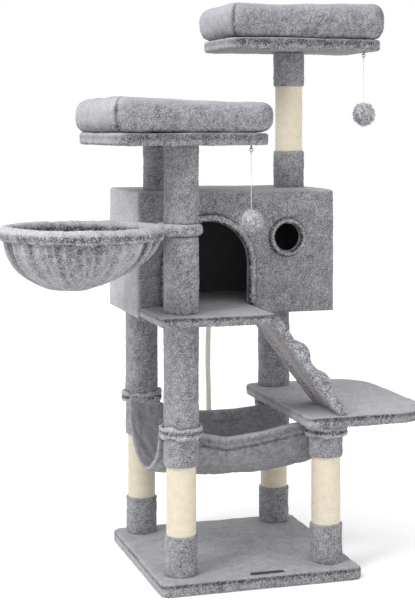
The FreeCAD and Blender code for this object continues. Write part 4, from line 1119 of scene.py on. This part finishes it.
def hammock_grid():
    """Sheet points at angle a from the front edge (0) to the back (pi), pushed out by the creases;
    the wall goes down the outside and back up the inside."""
    x = np.linspace(*HAMMOCK_ENDS, 100)
    front, back, belly = (smooth(values, 12)[None] for values in edge_levels(x))
    a = np.linspace(0, math.pi, 110)[:, None]
    blend = (1 - np.cos(a)) / 2
    edge = front * (1 - blend) + back * blend
    y = HAMMOCK_Y - HAMMOCK_RADIUS * np.cos(a) * (1 - 0.02 * np.cos(x[None] * 9))
    z = edge + (belly - edge) * np.sin(a) ** 0.9
    middle = points_of(x[None], y, z)
    out = points_of(0 * z, -np.cos(a), -np.sin(a))
    slant = points_of(x[None] + a * 0.05, a * 0.02 - np.abs(x[None]) * 0.5, 0.0)
    crease = cloud(slant, 0.016, 101) * (np.abs(x[None]) / 0.2) ** 0.7 * np.sin(a) ** 0.5
    from_edge = np.minimum(a, math.pi - a) * HAMMOCK_RADIUS
    hem = np.clip((0.029 - from_edge) / 0.002, 0, 1) * 0.0030
    from_end = np.minimum(x[None] - HAMMOCK_ENDS[0], HAMMOCK_ENDS[1] - x[None])
    end = np.clip((0.024 - from_end) / 0.002, 0, 1) * 0.0018
    thick = CLOTH / 2 + np.maximum(hem, end)
    push = 0.0035 * crease[..., None]
    outside = middle + out * (push + thick[..., None])
    inside = middle + out * (push - thick[..., None])
    return outside, inside[::-1]


def closed_sheet(name, outside, inside):
    """A sheet whose two faces meet round all four edges: each row ends in the other face's row."""
    first = np.concatenate([outside, inside])
    left = (outside[:, :1] + inside[::-1][:, :1]) / 2
    right = (outside[:, -1:] + inside[::-1][:, -1:]) / 2
    left = np.concatenate([left, left[::-1]])
    right = np.concatenate([right, right[::-1]])
    return shell(name, [np.concatenate([left, first, right], axis=1)], around=False, along=True)


def hammock_hem_shading(points, out):
    """Painted light along the top edge all round, and painted shade in lines under the folded hem on the
    outside of the front.
    """
    front, back, _ = edge_levels(points[:, 0])
    edge = np.where(points[:, 1] < HAMMOCK_Y, front, back)
    fall = edge - points[:, 2]
    line = 0.65 * np.exp(-((fall - 0.031) / 0.004) ** 2) + 0.35 * np.exp(-((fall - 0.016) / 0.006) ** 2)
    return line * ((points[:, 1] < HAMMOCK_Y) & (out[:, 1] < 0)) - 0.25 * np.exp(-(fall / 0.006) ** 2)


hammock = closed_sheet("hammock_sheet", *hammock_grid())
fluff(hammock, 0.0011, 0.0014, 103, lean=0.2, combed=0.6, crease=hammock_hem_shading)
fit_out(hammock, "frame", HAMMOCK_PLUSH, "hammock_plush", "hammock_cloth")
print("hammock faces:", len(hammock.data.polygons))


# %% [markdown]
# ## Hammock loops
# Each corner of the hammock ends in a loop of rolled plush that is pulled round its post and
# knotted on the inner side. The loop is a flattened ring with a hollow line round its middle, and
# the gathered corner is a short, fat, wrinkled neck between the ring and the sheet.

# %% Loops
def loop_grid(spot, level, slope, seed):
    """A band 26 mm high round a post: the outside is 2.4 mm shallower in a line round its middle,
    and wavy by a cloud of the angle."""
    angle = np.linspace(0, 2 * math.pi, 110, endpoint=False)[None]
    x, y = section(0.0052, 0.0135, 26)
    x, y = x[:, None], y[:, None]
    wave = cloud(points_of(np.cos(angle) * 2, np.sin(angle) * 2, 0.0), 0.7, seed)
    slot = np.exp(-(y / 0.003) ** 2) * (x > 0)
    out = 0.0474 + x - 0.0036 * slot + 0.0016 * wave
    z = level + y + 0.005 * wave + slope * np.cos(angle)
    return points_of(spot[0] + out * np.cos(angle), spot[1] + out * np.sin(angle), z)


def neck_grid(start, end, thick, seed):
    """A gathered neck: a tube from start to end whose radius is thick x (0.6 + 0.4 |2t - 1|)
    with ten ridges along it."""
    t = np.linspace(0, 1, 14)
    path = np.array(start) + t[:, None] * (np.array(end) - np.array(start))
    path[:, 2] -= 0.006 * np.sin(math.pi * t)

    def radius(angle, run):
        share = run / run.max()
        ridges = cloud(points_of(np.cos(angle) * 1.6, np.sin(angle) * 1.6, share * 0.8), 0.5, seed)
        return thick * (0.72 + 0.28 * np.abs(2 * share - 1) + 0.16 * ridges)
    return tube_on(path, radius, 30)


LOOPS = ((FRONT_LEFT, 0.368, 0.001, 1, 1), (BACK_LEFT, 0.385, 0.001, 1, -1),
         (FRONT_RIGHT, 0.350, -0.001, -1, 1), (BACK_RIGHT, 0.350, -0.001, -1, -1))
loops = shell("loop_bands", [loop_grid(spot, level, slope, 110 + k)
                             for k, (spot, level, slope, _, _) in enumerate(LOOPS)])


def loop_slot_shade(points, out):
    """Painted shade in the hollow line round each loop's middle; the rest of the loop is lightened a
    little.
    """
    near = [np.hypot(points[:, 0] - spot[0], points[:, 1] - spot[1]) for spot, *_ in LOOPS]
    level = np.array([entry[1] for entry in LOOPS])[np.argmin(near, axis=0)]
    return 0.8 * np.exp(-((points[:, 2] - level) / 0.004) ** 2) - 0.15


fit_out(fluff(loops, 0.0018, 0.0010, 115, combed=0.5, crease=loop_slot_shade), "frame", TRIM_PLUSH,
        "plush", "hammock_loops")
necks = []
for k, (spot, level, slope, inward_x, inward_y) in enumerate(LOOPS):
    start = (spot[0] + inward_x * 0.030, spot[1] + inward_y * 0.040, level)
    corner = (inward_x * -0.158, HAMMOCK_Y - inward_y * 0.138, level - 0.018)
    necks.append(neck_grid(start, corner, 0.012, 120 + k))
neck = shell("gathered_corners", necks, along=False)
fit_out(fluff(neck, 0.0014, 0.0008, 125), "frame", TRIM_PLUSH, "hammock_plush")
print("loops made")

# %% [markdown]
# ## Ramp
# The ramp is a short plank in plush with two padded lumps over its rungs, and it runs down from
# the ledge to the lower platform. The outline of its side is worked out once in the plank's own
# frame (distance down the slope, height above its underside) and then laid on the slope. A bare
# strip of the board's underside shows between the cloth's two edges.

# %% Ramp cover
RAMP_ANGLE = math.radians(53)
RAMP_TOP = np.array((0.030, 0.609))
RAMP_FRONT, RAMP_WIDTH, RAMP_THICK = -0.238, 0.182, 0.024
BARE_STRIP = 0.078


def ramp_profile():
    """The plank's top line: 24 mm, plus a round lump 13 mm high at each rung, from the ledge's
    level to the platform's."""
    s = np.linspace(-0.012, 0.276, 92)
    lumps = sum(np.sqrt(np.clip(1 - ((s - rung) / 0.027) ** 2, 0, 1)) for rung in (0.088, 0.178))
    return s, RAMP_THICK + 0.0135 * smooth(lumps, 3)


def ramp_grid():
    """Rows down the slope, columns round the section: over the top, down a side, under the cloth's
    margin, up 3 mm into the bare strip, and the same back."""
    s, top = ramp_profile()
    half = RAMP_WIDTH / 2
    strip = BARE_STRIP / 2
    across = np.linspace(-half + 0.006, half - 0.006, 38)
    corner = np.linspace(0, math.pi / 2, 5)
    y = [across]
    lift = [np.ones(len(across))]
    under = [np.zeros(len(across))]
    y += [half - 0.006 + 0.006 * np.sin(corner[1:])]
    lift += [np.ones(4)]
    under += [-0.006 * (1 - np.cos(corner[1:]))]
    y += [np.array([half, half, half - 0.002, half - 0.006]), np.linspace(half - 0.012, strip, 7)]
    lift += [np.array([0.5, 0.25, 0.0, 0.0]), np.zeros(7)]
    under += [np.array([0, 0.001, 0.001, 0.0]), np.zeros(7)]
    y += [np.array([strip - 0.001, 0.0])]
    lift += [np.zeros(2)]
    under += [np.array([0.0032, 0.0036])]
    y, lift, under = (np.concatenate(part) for part in (y, lift, under))
    n = len(across)
    y = np.concatenate([y, -y[n:-1][::-1]])
    lift = np.concatenate([lift, lift[n:-1][::-1]])
    under = np.concatenate([under, under[n:-1][::-1]])
    height = top[:, None] * lift[None] + under[None]
    slide = s[:, None] + 0 * y[None]
    x = RAMP_TOP[0] + slide * math.cos(RAMP_ANGLE) + height * math.sin(RAMP_ANGLE)
    z = RAMP_TOP[1] - slide * math.sin(RAMP_ANGLE) + height * math.cos(RAMP_ANGLE)
    z = np.clip(z, 0.3935, 0.640)
    grid = np.stack([x, RAMP_FRONT + half + y[None] + 0 * x, z], axis=2)
    middle_start = np.repeat(grid[:1].mean(axis=1, keepdims=True), grid.shape[1], axis=1)
    middle_end = np.repeat(grid[-1:].mean(axis=1, keepdims=True), grid.shape[1], axis=1)
    return np.concatenate([middle_start, grid, middle_end])


ramp = shell("ramp_plush", [ramp_grid()], along=False)
middles = np.empty(len(ramp.data.polygons) * 3)
ways = np.empty(len(ramp.data.polygons) * 3)
ramp.data.polygons.foreach_get("center", middles)
ramp.data.polygons.foreach_get("normal", ways)
middles, ways = middles.reshape(-1, 3), ways.reshape(-1, 3)
bare = (np.abs(middles[:, 1] - RAMP_FRONT - RAMP_WIDTH / 2) < BARE_STRIP / 2) & (ways[:, 0] < -0.5)
fit_out(fluff(ramp, 0.0018, 0.0014, 131, combed=0.4), "frame", TRIM_PLUSH, "plush", "ramp_cover")
ramp.data.materials.append(STRIP)
ramp.data.polygons.foreach_set("material_index", bare.astype(np.int32))
print("ramp faces:", len(ramp.data.polygons))

# %% [markdown]
# ## Toys
# Each toy is a ball of long loose pile on a string. The ball is a sphere with a rough skin, and
# a few hundred thin tapered strands stand out from it and droop, which gives its soft outline.

# %% Pompoms
def ball_grid(middle, radius):
    """A sphere by latitude and longitude."""
    polar = np.linspace(0, math.pi, 42)[:, None]
    turn = np.linspace(0, 2 * math.pi, 72, endpoint=False)[None]
    return points_of(middle[0] + radius * np.sin(polar) * np.cos(turn),
                     middle[1] + radius * np.sin(polar) * np.sin(turn),
                     middle[2] + radius * np.cos(polar))


def strands_on(name, roots, out, length, width, droop, seed):
    """Thin blades from each root: three pairs of points at shares 0, 0.5 and 1 of the length.

    Each blade lies downwards along the ball and a little out from it, drops by droop x share
    squared, and narrows to a point. All blades are one array, and one mesh.
    """
    rng = np.random.default_rng(seed)
    count = len(roots)
    down = np.array((0, 0, -1.0)) + out * out[:, 2:]
    way = 0.45 * out + 0.9 * down + rng.normal(0, 0.25, (count, 3))
    way /= np.linalg.norm(way, axis=1)[:, None]
    side = np.cross(way, rng.normal(0, 1, (count, 3)))
    side /= np.linalg.norm(side, axis=1)[:, None]
    reach = length * rng.uniform(0.6, 1.15, (count, 1, 1))
    share = np.array((0, 0.5, 1.0))[None, :, None]
    spine = roots[:, None] + way[:, None] * share * reach
    spine = spine - np.array((0, 0, 1.0)) * droop * share ** 2
    half = width / 2 * np.array((1.0, 0.75, 0.12))[None, :, None] * side[:, None]
    points = np.stack([spine - half, spine + half], axis=2).reshape(count * 6, 3)
    first = np.arange(count)[:, None] * 6
    quads = np.concatenate([first + (0, 1, 3, 2), first + (2, 3, 5, 4)])
    mesh = bpy.data.meshes.new(name)
    mesh.from_pydata(points.tolist(), [], quads.tolist())
    tip = np.tile(np.array((0.15, 0.15, 0.6, 0.6, 1.0, 1.0)), count)
    tip = tip * np.repeat(rng.uniform(0.5, 1.0, count), 6)
    for title, values in (("pile_and_shading", tip), ("lay_and_light", 0 * tip)):
        attribute = mesh.attributes.new(title, "FLOAT", "POINT")
        attribute.data.foreach_set("value", values.astype(np.float32))
    piece = bpy.data.objects.new(name, mesh)
    bpy.context.scene.collection.objects.link(piece)
    return piece


for k, toy in enumerate(STRINGS):
    low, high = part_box(toy + "_ball")
    middle = np.array((low + high) / 2)
    ball = shell(toy + "_pompom", [ball_grid(middle, 0.0270)], along=False)
    fluff(ball, 0.0022, 0.0012, 141 + k, lean=0.8, combed=0.3)
    fit_out(ball, toy, POMPOM, "pompom", toy + "_ball")
    out = np.random.default_rng(145 + k).normal(0, 1, (900, 3))
    out /= np.linalg.norm(out, axis=1)[:, None]
    fluffy = strands_on(toy + "_strands", middle + 0.0255 * out, out, 0.0095, 0.0014, 0.001, 147 + k)
    fit_out(fluffy, toy, POMPOM, "pompom")
    string, path = strings[toy]
    print(toy, "ball at", middle.round(4))

# %% [markdown]
# ## Knots and rope ends
# The rope is knotted under its ring and again at its end, where its fibres fray. A knot is a ball
# with wound ridges. The strings' tiny knots stay as they are in CAD, with the string's finish.

# %% Rope knots
def knot_grid(node, turns):
    """An oval with ridges: radius x (1 + 9 % x cos(turns x longitude + 3 x polar angle))."""
    low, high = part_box(node)
    middle, half = np.array((low + high) / 2), np.array((high - low) / 2)
    polar = np.linspace(0, math.pi, 40)[:, None]
    turn = np.linspace(0, 2 * math.pi, 64, endpoint=False)[None]
    size = 0.93 * (1 + 0.09 * np.cos(turns * turn + 6 * polar) * np.sin(polar))
    return points_of(middle[0] + half[0] * size * np.sin(polar) * np.cos(turn),
                     middle[1] + half[1] * size * np.sin(polar) * np.sin(turn),
                     middle[2] + half[2] * size * np.cos(polar))


top_knot = shell("rope_upper_knot", [knot_grid("rope_top_knot", 3)], along=False)
fit_out(top_knot, "rope_body", ROPE, "rope_fibre", "rope_top_knot")
end_knot = shell("rope_lower_knot", [knot_grid("rope_end_knot", 5)], along=False)
fit_out(end_knot, "rope_body", ROPE, "rope_fibre", "rope_end_knot")

# %% [markdown]
# ## Pieces that keep their CAD shape
# Boards, tubes, bolts, rings and the tag have their true shape already, so each one only takes
# its finish. Wood, card and steel show in small places: under the ramp, at the screw eyes and at
# the ends of the tubes.

# %% Finishes for the CAD nodes
CAD_FINISHES = {
    "board": BOARD, "lined_board": DARK_INSIDE, "card": CARD, "plug_plastic": PLUG, "bolt_steel": STEEL,
    "tag": TAG, "string": STRING, "rope_fibre": ROPE, "plush": PLUSH, "bed_plush": BED_PLUSH,
    "hammock_plush": HAMMOCK_PLUSH, "sisal": SISAL, "pompom": POMPOM,
}
slots = {entry["node"]: entry["material_slot"] for entry in frame["record"]["subparts"]}
for name, item in nodes.items():
    item.data.materials.clear()
    item.data.materials.append(STRIP if name == "ramp_board" else CAD_FINISHES[slots[name]])
print("CAD nodes still shown:", sorted(n for n, item in nodes.items() if not item.hide_render))

# %% [markdown]
# ## The end

# %% Finish
bpy.context.view_layer.update()
